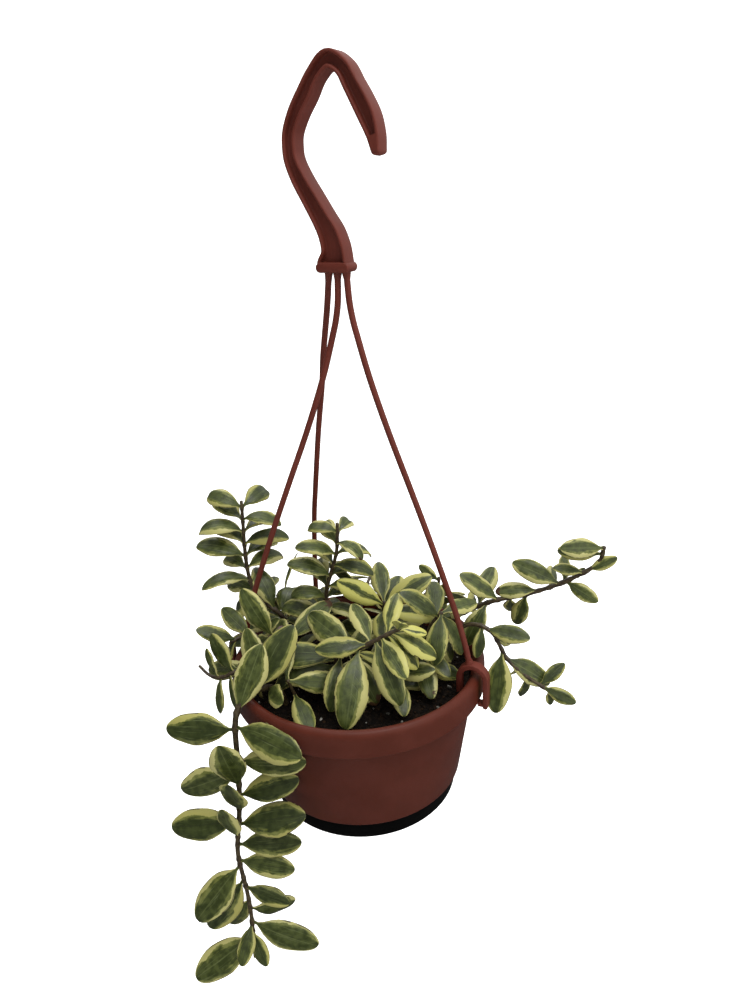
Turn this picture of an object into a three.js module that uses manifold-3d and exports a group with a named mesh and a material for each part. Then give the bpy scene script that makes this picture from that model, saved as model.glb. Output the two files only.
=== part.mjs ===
// A variegated lipstick plant in a hanging plastic pot, in millimetres, +Z up.
// Every piece is placed from the centre of the pot's rim, at the height of the rim's top. The whole group is
// then moved so that its origin is the point where the hook hangs on its rail.
import * as THREE from "three";
import { mergeVertices } from "three/addons/utils/BufferGeometryUtils.js";
import Module from "manifold-3d";

const wasm = await Module();
wasm.setup();

// Pot
const RIM_RADIUS = 75;
const RIM_DEPTH = 16;
const WALL = 1.5;
const WALL_TOP_RADIUS = 69;
const WALL_FOOT_RADIUS = 59.7;
const WALL_FOOT_Z = -75;
const FOOT_RADIUS = 55.4;
const POT_FLOOR_Z = -81;
const POT_SIDES = 34;
const DRAIN_HOLES = 6;
const DRAIN_RADIUS = 4;
const DRAIN_CIRCLE = 36;

// Saucer
const SAUCER_TOP_RADIUS = 57.6;
const SAUCER_BASE_RADIUS = 56.6;
const SAUCER_TOP_Z = -75.6;
const SAUCER_BASE_Z = -87;
const SAUCER_WALL = 1.2;
const PRONG_RADIUS = 2.6;
const PRONG_HEAD = 1.1;

// Soil
const SOIL_Z = -14;
const SOIL_RELIEF = 1.1;
const SOIL_SIDES = 24;
const SOIL_RING = 14;
const HOLE_CLEARANCE = 0.7;
const ROOT_DEPTH = 10;

// Clearance between pieces that touch
const GAP = 0.3;

// Hanger
const HOOK_YAW = -30;
const HOOK_THICKNESS = 9;
const HOOK_LIP = 1.7;
const HOOK_RECESS = 3.2;
const HOOK_BASE_Z = 218.6;
const BEARING_REACH = 5;
const BEARING_Z = 305.6;
const FOOT_BEAD = 2.4;
const FOOT_LEFT = -5.3;
const FOOT_RIGHT = 8.7;
const ARM_RADIUS = 1.65;
const ARM_SPACING = 4.95;
const ARM_MIDDLE = 2.2;
const ARM_SIDES = 6;
const ARM_TURNS = 16;
const CLIP_REACH = 69;
const CLIP_TOP_Z = 8.4;
const CLIP_WIDTH = 5.6;
const CLIP_THICKNESS = 3;
const CLIP_INNER_RADIUS = 63.6;
const CLIP_OUTER_RADIUS = 79;
const CLIP_INNER_Z = -11;
const CLIP_OUTER_Z = -16;

// The hook's middle line in its own plane, as [across, height, half width]
const HOOK_LINE = [
  [2.4, 221, 6.4],
  [2.4, 229, 6.3],
  [0.4, 236.5, 5.7],
  [-3.4, 243.5, 4.9],
  [-8.6, 252.2, 4.5],
  [-14.4, 261.8, 4.1],
  [-17.9, 270, 3.7],
  [-18.4, 276.5, 3.6],
  [-17.4, 282.5, 3.6],
  [-13.4, 290, 3.8],
  [-8, 297, 3.9],
  [-2.3, 304.4, 3.5],
  [5.2, 309.6, 3.9],
  [12.6, 305.8, 3.8],
  [17, 298.5, 4],
  [21, 291.5, 4.3],
  [24.4, 284.8, 4.2],
  [26.9, 277.6, 3.2],
  [28, 270.8, 2],
];
const HOOK_STEPS = 2;
const RECESS_END = 0.92;

// How an arm runs from the hook's foot to its clip, as [share of the reach, height above the rim]
const SIDE_ARM = [
  [0, 220],
  [0.01, 206],
  [0.03, 197],
  [0.064, 188],
  [0.16, 166],
  [0.31, 138],
  [0.5, 106],
  [0.68, 75],
  [0.87, 40],
  [0.96, 20],
  [1, 8],
];
const BACK_ARM = [
  [0, 220],
  [0.097, 201],
  [0.266, 175],
  [0.342, 159],
  [0.536, 128],
  [0.75, 88],
  [0.86, 65],
  [0.97, 27],
  [1, 8],
];
// Each arm's place on the hook's foot, the way round the pot to its clip, and its route
const ARMS = [
  { place: -1, azimuth: 114, route: BACK_ARM },
  { place: 0, azimuth: 170, route: SIDE_ARM },
  { place: 1, azimuth: -25, route: SIDE_ARM },
];

// Stems
const STEM_SIDES = 5;
const STEM_STEP = 8.5;
const ROUTE_STEPS = 8;
const TIP_SHARE = 0.62;

// Leaves: blades on an arc, bent away from the light and each tilted a little, in pairs that are crossed on
// most stems
const CROSSED = 90;
const LEAF_WIDTH = 0.42;
const LEAF_BROADEST = 1.02;
const LEAF_TILT = 0.7;
const LEAF_FOOT_TAPER = 0.66;
const LEAF_TIP_TAPER = 0.52;
const LEAF_RIB = 0.7;
const LEAF_FOLD = 0.22;
const PETIOLE_SHARE = 0.1;
const PETIOLE_HALF = 1;
const LEAF_STATIONS = [0.1, 0.34, 0.64, 0.89];
const BLADE_GAP = 2;
const BLADE_MARGIN = 0.8;
const NET_STATIONS = [0.12, 0.26, 0.4, 0.55, 0.7, 0.85, 1];
// The ways a crowded leaf can turn to find room, as [degrees round the stem, lift towards the light, size]
const WAYS = [
  [0, 0, 1],
  [14, 0, 1],
  [-14, 0, 1],
  [0, 0.3, 1],
  [0, -0.3, 1],
  [28, 0, 1],
  [-28, 0, 1],
  [16, 0.35, 0.92],
  [-16, 0.35, 0.92],
  [16, -0.35, 0.92],
  [-16, -0.35, 0.92],
  [42, 0.2, 0.86],
  [-42, 0.2, 0.86],
  [0, 0.8, 0.86],
  [0, -0.7, 0.86],
  [0, 0, 0.7],
  [35, 0.5, 0.7],
  [-35, 0.5, 0.7],
  [0, 0.5, 0.55],
];

// Each leafy stem: its route from the soil, its radius, how broad its leaves are where they aren't of the
// common breadth, how much they hang, how far they arch, and which way they look for light. A regular stem
// gives where its first pair of leaves sits, the distance between pairs, the length of its longest leaves,
// the share of that at the tip, the turn of the first pair, the turn from one pair to the next where it isn't
// a right angle, and how far leaves lean out from the stem. The others have each leaf placed, as
// [distance along the stem, turn round it, lean out from it, length].
const STEMS = [
  {
    name: "stem_trailing_front",
    route: [
      [-42, -28, -24],
      [-42, -28, -17],
      [-42.5, -28.5, -9],
      [-48, -34, 2],
      [-57, -42.5, 6],
      [-64, -49, 2],
      [-67, -52, -12],
      [-68, -53, -38],
      [-71, -53, -68],
      [-75, -53, -95],
      [-74.4, -53, -112],
      [-73.1, -53, -128],
      [-72.4, -54, -147],
      [-73.5, -55, -180],
    ],
    radius: 1.8,
    breadth: 0.43,
    hang: 0.1,
    arch: 20,
    light: [-0.1, -0.9, 0.45],
    seed: 11,
    placed: [
      [66, 184, 88, 41],
      [92, 180, 66, 42],
      [128, 180, 78, 44],
      [40, 175, 103, 42],
      [56, 95, 166, 40],
      [64, 26, 96, 44],
      [86, 30, 110, 42],
      [110, 20, 126, 38],
      [131, 24, 128, 44],
      [146, 14, 110, 38],
      [158, 20, 96, 34],
      [103, 108, 152, 44],
      [120, 98, 158, 40],
      [140, 118, 158, 34],
      [162, 160, 54, 46],
      [173, 140, 50, 44],
      [179, 20, 74, 28],
      [206, 12, 66, 46],
      [218, 162, 66, 46],
      [190, 195, 44, 36],
      [196, 335, 66, 34],
      [208, 120, 34, 24],
      [214, 60, 52, 22],
      [46, 150, 80, 34],
      [34, 200, 80, 34],
      [30, 110, 60, 30],
      [36, 320, 80, 26],
    ],
  },
  {
    name: "stem_upright_left",
    route: [
      [-38, 22, -24],
      [-38, 22, -17],
      [-38.5, 22, -9],
      [-42, 23, 6],
      [-48, 24, 15],
      [-56, 26, 22],
      [-62, 28, 29],
      [-65, 29, 38],
      [-66, 30, 51],
      [-65.6, 30, 66],
      [-65, 30, 78],
      [-64.6, 30, 89],
    ],
    radius: 1.6,
    first: 30,
    step: 8,
    size: 34,
    taper: 0.9,
    spin: -28,
    cross: 56,
    lean: 46,
    hang: 0,
    arch: 96,
    light: [0, -0.5, 0.9],
    seed: 23,
  },
  {
    name: "stem_upright_middle",
    route: [
      [-20, 12, -24],
      [-20, 12, -17],
      [-20, 12, -9],
      [-20, 11, 5],
      [-19.5, 10, 18],
      [-17, 10, 36],
      [-13.4, 9, 49],
      [-9.6, 8, 61],
      [-8, 7, 72],
      [-7.5, 6, 82],
    ],
    radius: 1.5,
    first: 34,
    step: 7.5,
    size: 32,
    taper: 0.75,
    spin: -26,
    cross: 52,
    lean: 42,
    hang: 0,
    arch: 112,
    light: [0, -0.45, 0.9],
    seed: 31,
  },
  {
    name: "stem_arching_front",
    route: [
      [-15, -20, -24],
      [-15, -20, -17],
      [-14.7, -20.5, -9],
      [-13, -25, 4],
      [-11.7, -27, 12],
      [-8.7, -30, 18],
      [3.6, -34, 25],
      [14.7, -36, 32],
      [25, -36, 37],
    ],
    radius: 1.5,
    hang: 0.25,
    arch: 36,
    light: [0, -0.6, 0.8],
    seed: 47,
    placed: [
      [30, 200, 70, 28],
      [34, 20, 80, 30],
      [42, 5, 118, 40],
      [54, 340, 112, 38],
      [65, 320, 84, 28],
      [63, 20, 122, 29],
      [57, 125, 92, 44],
      [50, 175, 84, 38],
      [44, 150, 100, 36],
      [68, 125, 84, 37],
      [72, 100, 66, 28],
      [76, 330, 60, 26],
      [78, 165, 34, 31],
      [76, 150, 50, 28],
      [82, 30, 60, 22],
      [83, 200, 50, 18],
    ],
  },
  {
    name: "stem_sprout_back_right",
    route: [
      [48, 28, -24],
      [48, 28, -17],
      [48.2, 28.2, -9],
      [50, 29, 6],
      [51.5, 30, 18],
      [51.7, 30, 32],
    ],
    radius: 1.2,
    first: 26,
    step: 14,
    size: 21,
    taper: 0.7,
    spin: 0,
    lean: 50,
    hang: 0,
    arch: 45,
    light: [0, -0.8, 0.6],
    seed: 53,
  },
  {
    name: "stem_long_right",
    route: [
      [50, 10, -24],
      [50, 10, -17],
      [50.5, 10, -9],
      [54, 11, 3],
      [60, 12, 13],
      [68.4, 10, 19.5],
      [79.5, 6, 26.3],
      [88.6, 4, 29.5],
      [97.5, 2, 31.7],
      [106.3, 0, 35.4],
      [115, -2, 39.2],
      [123.4, -4, 43.9],
      [130.2, -5, 48.1],
      [136, -5.5, 52],
      [140.2, -6, 57.5],
      [141, -7, 65],
    ],
    radius: 1.7,
    hang: 0,
    arch: 38,
    light: [0, -0.85, 0.5],
    seed: 61,
    placed: [
      [46, 60, 70, 30],
      [47, 250, 75, 28],
      [56, 300, 60, 30],
      [62, 110, 128, 30],
      [64, 330, 125, 20],
      [69, 15, 112, 29],
      [76, 200, 100, 22],
      [86, 180, 128, 25],
      [93, 5, 148, 26],
      [100, 270, 70, 24],
      [106, 10, 118, 30],
      [109, 300, 60, 20],
      [110, 185, 58, 25],
      [113, 90, 30, 13],
      [121, 15, 118, 18],
      [124, 80, 18, 18],
      [130, 175, 130, 26],
      [137, 350, 92, 25],
      [141, 25, 78, 27],
    ],
  },
  {
    name: "stem_drooping_right",
    route: [
      [48, -8, -24],
      [48, -8, -17],
      [48.5, -8, -9],
      [52, -7, 5],
      [57, -7, 14],
      [63, -8, 19.5],
      [70, -11, 21.5],
      [77, -15, 19],
      [81, -18, 12.5],
      [85.5, -20, 3.5],
      [91, -22, -2.3],
      [98, -24, -8],
      [105, -26, -12.3],
      [110.5, -28, -16],
    ],
    radius: 1.5,
    hang: 0.05,
    arch: 22,
    light: [0.2, -0.8, 0.5],
    seed: 71,
    placed: [
      [44, 270, 70, 30],
      [58, 185, 78, 35],
      [60, 120, 30, 37],
      [61, 20, 34, 26],
      [70, 300, 70, 26],
      [77, 175, 42, 37],
      [82, 5, 34, 31],
      [90, 350, 62, 16],
      [91, 230, 70, 18],
      [96, 60, 32, 20],
      [98, 190, 52, 20],
      [100, 5, 92, 20],
      [107, 350, 76, 19],
      [107, 180, 56, 20],
      [109, 30, 18, 20],
      [113, 185, 50, 12],
    ],
  },
  {
    name: "stem_inner_right",
    route: [
      [34, -12, -24],
      [34, -12, -17],
      [34.2, -12.2, -9],
      [37, -14, 6],
      [40, -15, 18],
      [44, -16, 28],
      [49, -17, 34],
    ],
    radius: 1.4,
    hang: 0.15,
    arch: 44,
    light: [0.1, -0.6, 0.8],
    seed: 83,
    placed: [
      [60, 148, 78, 34],
      [50, 150, 90, 34],
      [54, 178, 96, 36],
      [34, 165, 80, 28],
      [61, 75, 110, 30],
      [58, 20, 60, 30],
      [56, 300, 60, 28],
      [61, 240, 40, 26],
      [44, 60, 80, 28],
      [40, 10, 75, 26],
      [30, 90, 75, 28],
      [24, 200, 80, 30],
    ],
  },
  {
    name: "stem_short_front",
    route: [
      [20, -24, -24],
      [20, -24, -17],
      [20.2, -24.3, -9],
      [20.8, -26, -2],
      [21.3, -28, 4],
    ],
    radius: 1.5,
    hang: 0.1,
    arch: 66,
    light: [0, -0.35, 1],
    seed: 97,
    placed: [
      [14, 200, 75, 30],
      [16, 20, 85, 28],
      [18, 140, 95, 32],
      [20, 100, 75, 32],
      [22, 250, 62, 30],
      [25, 180, 70, 30],
      [26, 155, 48, 38],
      [27, 60, 70, 28],
      [28, 330, 40, 24],
    ],
  },
  {
    name: "stem_middle_right",
    route: [
      [15, 4, -24],
      [15, 4, -17],
      [15, 4, -9],
      [15.4, 3, 8],
      [16, 2, 21],
      [17, 1, 33],
    ],
    radius: 1.5,
    hang: 0.1,
    arch: 44,
    light: [0, -0.55, 0.85],
    seed: 101,
    placed: [
      [54, 180, 42, 34],
      [50, 165, 66, 34],
      [55, 20, 50, 32],
      [46, 40, 90, 30],
      [46, 110, 100, 24],
      [50, 90, 60, 28],
      [44, 200, 85, 32],
      [38, 150, 80, 30],
      [36, 10, 80, 30],
      [56, 300, 40, 28],
      [30, 100, 75, 28],
      [52, 250, 55, 30],
    ],
  },
  {
    name: "stem_bare_tip_left",
    route: [
      [-52, -6, -24],
      [-52, -6, -17],
      [-52.5, -6.5, -9],
      [-57, -13, 2],
      [-62, -22, 8],
      [-68, -27, 9],
      [-75.7, -27, 5.5],
      [-83.7, -24, 5],
      [-89.5, -22, 10.5],
    ],
    radius: 1.3,
    hang: 0.1,
    arch: 30,
    light: [-0.4, -0.7, 0.6],
    seed: 113,
    placed: [
      [58, 30, 80, 22],
      [52, 20, 90, 22],
      [44, 10, 100, 34],
      [50, 200, 80, 26],
      [40, 150, 70, 30],
      [36, 330, 70, 30],
      [46, 270, 60, 26],
      [60, 170, 70, 18],
    ],
  },
  {
    name: "stem_left_inner",
    route: [
      [-30, -8, -24],
      [-30, -8, -17],
      [-30, -8.3, -9],
      [-32, -10, 5],
      [-36, -13, 16],
      [-42, -16, 23],
      [-49, -18, 25],
    ],
    radius: 1.5,
    hang: 0.3,
    arch: 36,
    light: [-0.2, -0.75, 0.65],
    seed: 127,
    placed: [
      [28, 60, 100, 34],
      [22, 80, 80, 28],
      [16, 60, 85, 32],
      [34, 20, 75, 36],
      [40, 95, 75, 34],
      [46, 200, 80, 34],
      [50, 40, 60, 36],
      [56, 150, 50, 36],
      [57, 330, 60, 34],
      [44, 280, 70, 32],
      [34, 250, 70, 30],
      [26, 200, 75, 30],
    ],
  },
  {
    name: "stem_low_left",
    route: [
      [-34, -34, -24],
      [-34, -34, -17],
      [-34.2, -34.3, -9],
      [-36, -36, 0],
      [-38, -38, 9],
    ],
    radius: 1.3,
    hang: 0.15,
    arch: 34,
    light: [0, -0.7, 0.7],
    seed: 163,
    placed: [
      [33, 160, 95, 30],
      [32, 70, 80, 36],
      [28, 20, 90, 34],
      [26, 200, 85, 26],
      [22, 110, 90, 28],
      [34, 260, 40, 30],
    ],
  },
  {
    name: "stem_left_rim",
    route: [
      [-52, 14, -24],
      [-52, 14, -17],
      [-52.3, 13.5, -9],
      [-55, 9, 4],
      [-60, 4, 12],
      [-67, 0, 15],
      [-75, -4, 13],
    ],
    radius: 1.3,
    first: 26,
    step: 9,
    size: 28,
    taper: 0.85,
    spin: 60,
    lean: 64,
    hang: 0.3,
    arch: 30,
    light: [-0.4, -0.5, 0.8],
    seed: 131,
  },
  {
    name: "stem_back_middle",
    route: [
      [0, 34, -24],
      [0, 34, -17],
      [0, 34.3, -9],
      [1, 38, 2],
      [3, 46, 10],
      [6, 56, 14],
      [8, 67, 14],
      [9, 78, 9],
    ],
    radius: 1.5,
    first: 20,
    step: 11,
    size: 32,
    taper: 0.85,
    spin: 30,
    lean: 68,
    hang: 0.3,
    arch: 34,
    light: [0, 0.4, 0.9],
    seed: 139,
  },
  {
    name: "stem_back_left",
    route: [
      [-34, 44, -24],
      [-34, 44, -17],
      [-34.3, 44.3, -9],
      [-37, 49, 2],
      [-43, 56, 9],
      [-50, 64, 10],
      [-55, 71, 3],
      [-57, 75, -12],
      [-58, 77, -34],
    ],
    radius: 1.5,
    first: 20,
    step: 14,
    size: 33,
    taper: 0.85,
    spin: 30,
    lean: 68,
    hang: 0.3,
    arch: 28,
    light: [-0.4, 0.6, 0.7],
    seed: 149,
  },
  {
    name: "stem_back_right",
    route: [
      [32, 38, -24],
      [32, 38, -17],
      [32.3, 38.3, -9],
      [36, 43, 2],
      [43, 50, 8],
      [51, 58, 8],
      [57, 65, 0],
      [59, 69, -16],
      [60, 71, -38],
      [61, 72, -58],
    ],
    radius: 1.5,
    first: 20,
    step: 14,
    size: 33,
    taper: 0.8,
    spin: 50,
    lean: 68,
    hang: 0.3,
    arch: 28,
    light: [0.4, 0.6, 0.7],
    seed: 157,
  },
];

const COLOURS = {
  terracotta_plastic: { color: 0x7a3f33, roughness: 0.5, metalness: 0 },
  black_plastic: { color: 0x0b0b0c, roughness: 0.6, metalness: 0 },
  soil: { color: 0x14100c, roughness: 1, metalness: 0 },
  foliage: { color: 0x6f7d52, roughness: 0.55, metalness: 0 },
};

const radians = THREE.MathUtils.degToRad;
const vector = (point) => new THREE.Vector3(...point);

// A closed geometry as a solid that can be joined and cut
function solid(geometry) {
  const bare = geometry.clone();
  bare.deleteAttribute("normal");
  bare.deleteAttribute("uv");
  const merged = mergeVertices(bare, 1e-4);
  return new wasm.Manifold(
    new wasm.Mesh({
      numProp: 3,
      vertProperties: new Float32Array(merged.attributes.position.array),
      triVerts: new Uint32Array(merged.index.array),
    }),
  );
}

function geometryOf(body) {
  const mesh = body.getMesh();
  const geometry = new THREE.BufferGeometry();
  geometry.setAttribute("position", new THREE.BufferAttribute(mesh.vertProperties, 3));
  geometry.setIndex(new THREE.BufferAttribute(mesh.triVerts, 1));
  geometry.computeVertexNormals();
  return geometry;
}

// A closed skin over rings of equal counts, drawn in to a point at each end
function loft(start, rings, end) {
  const count = rings[0].length;
  const points = [start, ...rings.flat(), end];
  const last = points.length - 1;
  const faces = [];
  for (let k = 0; k < count; k += 1) {
    const next = (k + 1) % count;
    faces.push(0, 1 + next, 1 + k);
    for (let r = 0; r < rings.length - 1; r += 1) {
      const low = 1 + r * count;
      const high = low + count;
      faces.push(low + k, low + next, high + next);
      faces.push(low + k, high + next, high + k);
    }
    const top = 1 + (rings.length - 1) * count;
    faces.push(last, top + k, top + next);
  }
  const geometry = new THREE.BufferGeometry();
  const flat = points.flatMap((point) => point.toArray());
  geometry.setAttribute("position", new THREE.Float32BufferAttribute(flat, 3));
  geometry.setIndex(faces);
  return geometry;
}

function lathe(profile, sides) {
  const outline = profile.map(([radius, height]) => new THREE.Vector2(radius, height));
  return new THREE.LatheGeometry(outline, sides).rotateX(Math.PI / 2);
}

// The same numbers in the same order for one seed
function draws(seed) {
  let state = seed;
  return () => {
    state = (state * 1664525 + 1013904223) % 4294967296;
    return state / 4294967296;
  };
}

// The plastic pot: floor, foot, wall, and a rolled rim whose skirt hangs outside the wall
function pot() {
  const profile = [
    [0, POT_FLOOR_Z + WALL],
    [FOOT_RADIUS - WALL, POT_FLOOR_Z + WALL],
    [FOOT_RADIUS - WALL, WALL_FOOT_Z + WALL],
    [WALL_FOOT_RADIUS - WALL, WALL_FOOT_Z + WALL],
    [WALL_TOP_RADIUS - WALL, -RIM_DEPTH],
    [WALL_TOP_RADIUS - WALL + 0.6, -4],
    [RIM_RADIUS - 5, -1],
    [RIM_RADIUS - 3.4, 0],
    [RIM_RADIUS - 1.6, -0.5],
    [RIM_RADIUS - 0.4, -2],
    [RIM_RADIUS, -4],
    [RIM_RADIUS, -RIM_DEPTH],
    [RIM_RADIUS - WALL, -RIM_DEPTH],
    [RIM_RADIUS - WALL, -4.5],
    [WALL_TOP_RADIUS + 0.6, -4.5],
    [WALL_TOP_RADIUS, -RIM_DEPTH],
    [WALL_FOOT_RADIUS, WALL_FOOT_Z],
    [FOOT_RADIUS, WALL_FOOT_Z],
    [FOOT_RADIUS, POT_FLOOR_Z],
    [0, POT_FLOOR_Z],
  ];
  const drill = new THREE.CylinderGeometry(DRAIN_RADIUS, DRAIN_RADIUS, 4 * WALL, 8).rotateX(Math.PI / 2);
  let body = solid(lathe(profile.reverse(), POT_SIDES));
  for (let k = 0; k < DRAIN_HOLES; k += 1) {
    const turn = (2 * Math.PI * k) / DRAIN_HOLES;
    const hole = drill.clone();
    hole.translate(DRAIN_CIRCLE * Math.cos(turn), DRAIN_CIRCLE * Math.sin(turn), POT_FLOOR_Z + WALL / 2);
    body = body.subtract(solid(hole));
  }
  return geometryOf(body);
}

// The black dish that clips on below: three prongs on its floor go up through every second drain hole
function dripSaucer() {
  const inside = SAUCER_BASE_Z + SAUCER_WALL;
  const profile = [
    [0, SAUCER_BASE_Z],
    [SAUCER_BASE_RADIUS - 1, SAUCER_BASE_Z],
    [SAUCER_BASE_RADIUS, SAUCER_BASE_Z + 1],
    [SAUCER_TOP_RADIUS, SAUCER_TOP_Z],
    [SAUCER_TOP_RADIUS - SAUCER_WALL, SAUCER_TOP_Z],
    [SAUCER_BASE_RADIUS - SAUCER_WALL, inside + 1],
    [SAUCER_BASE_RADIUS - SAUCER_WALL - 1, inside],
    [0, inside],
  ];
  const top = POT_FLOOR_Z + WALL + GAP;
  const prong = [
    [0, inside - 0.5],
    [PRONG_RADIUS + 1.4, inside - 0.5],
    [PRONG_RADIUS + 1.4, POT_FLOOR_Z - GAP],
    [PRONG_RADIUS, POT_FLOOR_Z - GAP],
    [PRONG_RADIUS, top],
    [PRONG_RADIUS + PRONG_HEAD, top + 0.4],
    [PRONG_RADIUS - 0.6, top + 2.6],
    [0, top + 2.6],
  ];
  let body = solid(lathe(profile, POT_SIDES));
  for (let k = 0; k < DRAIN_HOLES; k += 2) {
    const turn = (2 * Math.PI * k) / DRAIN_HOLES;
    const post = lathe(prong, 7);
    post.translate(DRAIN_CIRCLE * Math.cos(turn), DRAIN_CIRCLE * Math.sin(turn), 0);
    body = body.add(solid(post));
  }
  return geometryOf(body);
}

// How high the soil lies at a place: low lumps by formula
function soilHeight(x, y) {
  const lumps = Math.sin(x * 0.31 + 1) * Math.cos(y * 0.27) + 0.6 * Math.sin(x * 0.13 - y * 0.19);
  return SOIL_Z + SOIL_RELIEF * lumps * 0.6;
}

// The soil fills the pot to below the rim, with a plain hole for each stem and room over each prong
function soil(holes) {
  const side = WALL_TOP_RADIUS - WALL - GAP;
  const foot = WALL_FOOT_RADIUS - WALL - GAP;
  const profile = [
    [0, POT_FLOOR_Z + WALL + GAP],
    [FOOT_RADIUS - WALL - GAP, POT_FLOOR_Z + WALL + GAP],
    [FOOT_RADIUS - WALL - GAP, WALL_FOOT_Z + WALL + GAP],
    [foot, WALL_FOOT_Z + WALL + GAP],
    [side - 0.4, SOIL_Z - 2],
  ];
  for (let reach = side - SOIL_RING; reach > 0; reach -= SOIL_RING) profile.push([reach, SOIL_Z]);
  profile.push([0, SOIL_Z]);
  const mould = lathe(profile, SOIL_SIDES);
  const at = mould.attributes.position;
  for (let k = 0; k < at.count; k += 1) {
    if (at.getZ(k) > SOIL_Z - 1) at.setZ(k, soilHeight(at.getX(k), at.getY(k)));
  }
  let body = solid(mould);
  for (const [x, y, radius] of holes) {
    const depth = ROOT_DEPTH + SOIL_RELIEF + 6;
    const bore = new THREE.CylinderGeometry(radius + HOLE_CLEARANCE, radius + HOLE_CLEARANCE, depth, 6);
    bore.rotateX(Math.PI / 2).translate(x, y, SOIL_Z - ROOT_DEPTH - 2 * GAP + depth / 2);
    body = body.subtract(solid(bore));
  }
  const room = new THREE.CylinderGeometry(DRAIN_RADIUS + 1, DRAIN_RADIUS + 1, 8, 8).rotateX(Math.PI / 2);
  for (let k = 0; k < DRAIN_HOLES; k += 2) {
    const turn = (2 * Math.PI * k) / DRAIN_HOLES;
    const space = room.clone();
    space.translate(DRAIN_CIRCLE * Math.cos(turn), DRAIN_CIRCLE * Math.sin(turn), POT_FLOOR_Z + WALL);
    body = body.subtract(solid(space));
  }
  return geometryOf(body);
}

// The hook's outline at a given inset, up to a share of its length
function hookShape(inset, share) {
  const line = new THREE.CatmullRomCurve3(HOOK_LINE.map(vector), false, "catmullrom", 0.5);
  const steps = Math.round((HOOK_LINE.length - 1) * HOOK_STEPS * share);
  const first = [];
  const second = [];
  for (let k = 0; k <= steps; k += 1) {
    const t = k / ((HOOK_LINE.length - 1) * HOOK_STEPS);
    const here = line.getPoint(t);
    const way = line.getTangent(t);
    const across = new THREE.Vector2(way.y, -way.x).normalize();
    const half = here.z - inset;
    first.push(new THREE.Vector2(here.x - across.x * half, here.y - across.y * half));
    second.push(new THREE.Vector2(here.x + across.x * half, here.y + across.y * half));
  }
  const end = line.getPoint(steps / ((HOOK_LINE.length - 1) * HOOK_STEPS));
  const way = line.getTangent(steps / ((HOOK_LINE.length - 1) * HOOK_STEPS));
  const cap = new THREE.Vector2(end.x, end.y);
  cap.addScaledVector(new THREE.Vector2(way.x, way.y).normalize(), end.z - inset);
  return new THREE.Shape([...first, cap, ...second.reverse()]);
}

// Stands a flat shape's extrusion up in the hook's plane, centred on it
function standing(shape, thickness) {
  const slab = new THREE.ExtrudeGeometry(shape, { depth: thickness, bevelEnabled: false });
  return slab.translate(0, 0, -thickness / 2).rotateX(Math.PI / 2).rotateZ(radians(HOOK_YAW));
}

// A saddle clip over the rim, drawn in the plane through the pot's axis and turned to its place
function clip(azimuth) {
  const middle = (CLIP_INNER_RADIUS + CLIP_OUTER_RADIUS) / 2;
  const reach = (CLIP_OUTER_RADIUS - CLIP_INNER_RADIUS) / 2;
  const half = CLIP_THICKNESS / 2;
  const springing = CLIP_TOP_Z - reach - half;
  const shape = new THREE.Shape();
  shape.moveTo(middle - reach - half, CLIP_INNER_Z);
  shape.lineTo(middle - reach - half, springing);
  shape.absarc(middle, springing, reach + half, Math.PI, 0, true);
  shape.lineTo(middle + reach + half, CLIP_OUTER_Z - 1.5);
  shape.absarc(middle + reach, CLIP_OUTER_Z - 1.5, half, 0, -Math.PI, true);
  shape.lineTo(middle + reach - half, springing);
  shape.absarc(middle, springing, reach - half, 0, Math.PI, false);
  shape.lineTo(middle - reach + half, CLIP_INNER_Z);
  const band = new THREE.ExtrudeGeometry(shape, { depth: CLIP_WIDTH, bevelEnabled: false, curveSegments: 4 });
  band.translate(0, 0, -CLIP_WIDTH / 2).rotateX(Math.PI / 2);
  // the barb that snaps under the skirt
  const barb = new THREE.BoxGeometry(3.4, CLIP_WIDTH, 1.2);
  barb.translate(CLIP_OUTER_RADIUS - half - 1.2, 0, -RIM_DEPTH - GAP - 0.6);
  // the boss where the arm runs into the arch
  const boss = new THREE.CylinderGeometry(ARM_RADIUS * 1.15, CLIP_WIDTH / 2, 4, 10);
  boss.rotateX(Math.PI / 2).translate(CLIP_REACH, 0, CLIP_TOP_Z);
  const body = solid(band).add(solid(barb)).add(solid(boss));
  return body.rotate([0, 0, azimuth]);
}

// The points of an arm from the hook's foot to the top of its clip
function armPoints(arm) {
  const yaw = radians(HOOK_YAW);
  const place = ARM_MIDDLE + arm.place * ARM_SPACING;
  const root = new THREE.Vector3(place * Math.cos(yaw), place * Math.sin(yaw), 0);
  const turn = radians(arm.azimuth);
  const end = new THREE.Vector3(CLIP_REACH * Math.cos(turn), CLIP_REACH * Math.sin(turn), 0);
  return arm.route.map(([share, height]) => root.clone().lerp(end, share).setZ(height));
}

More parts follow.
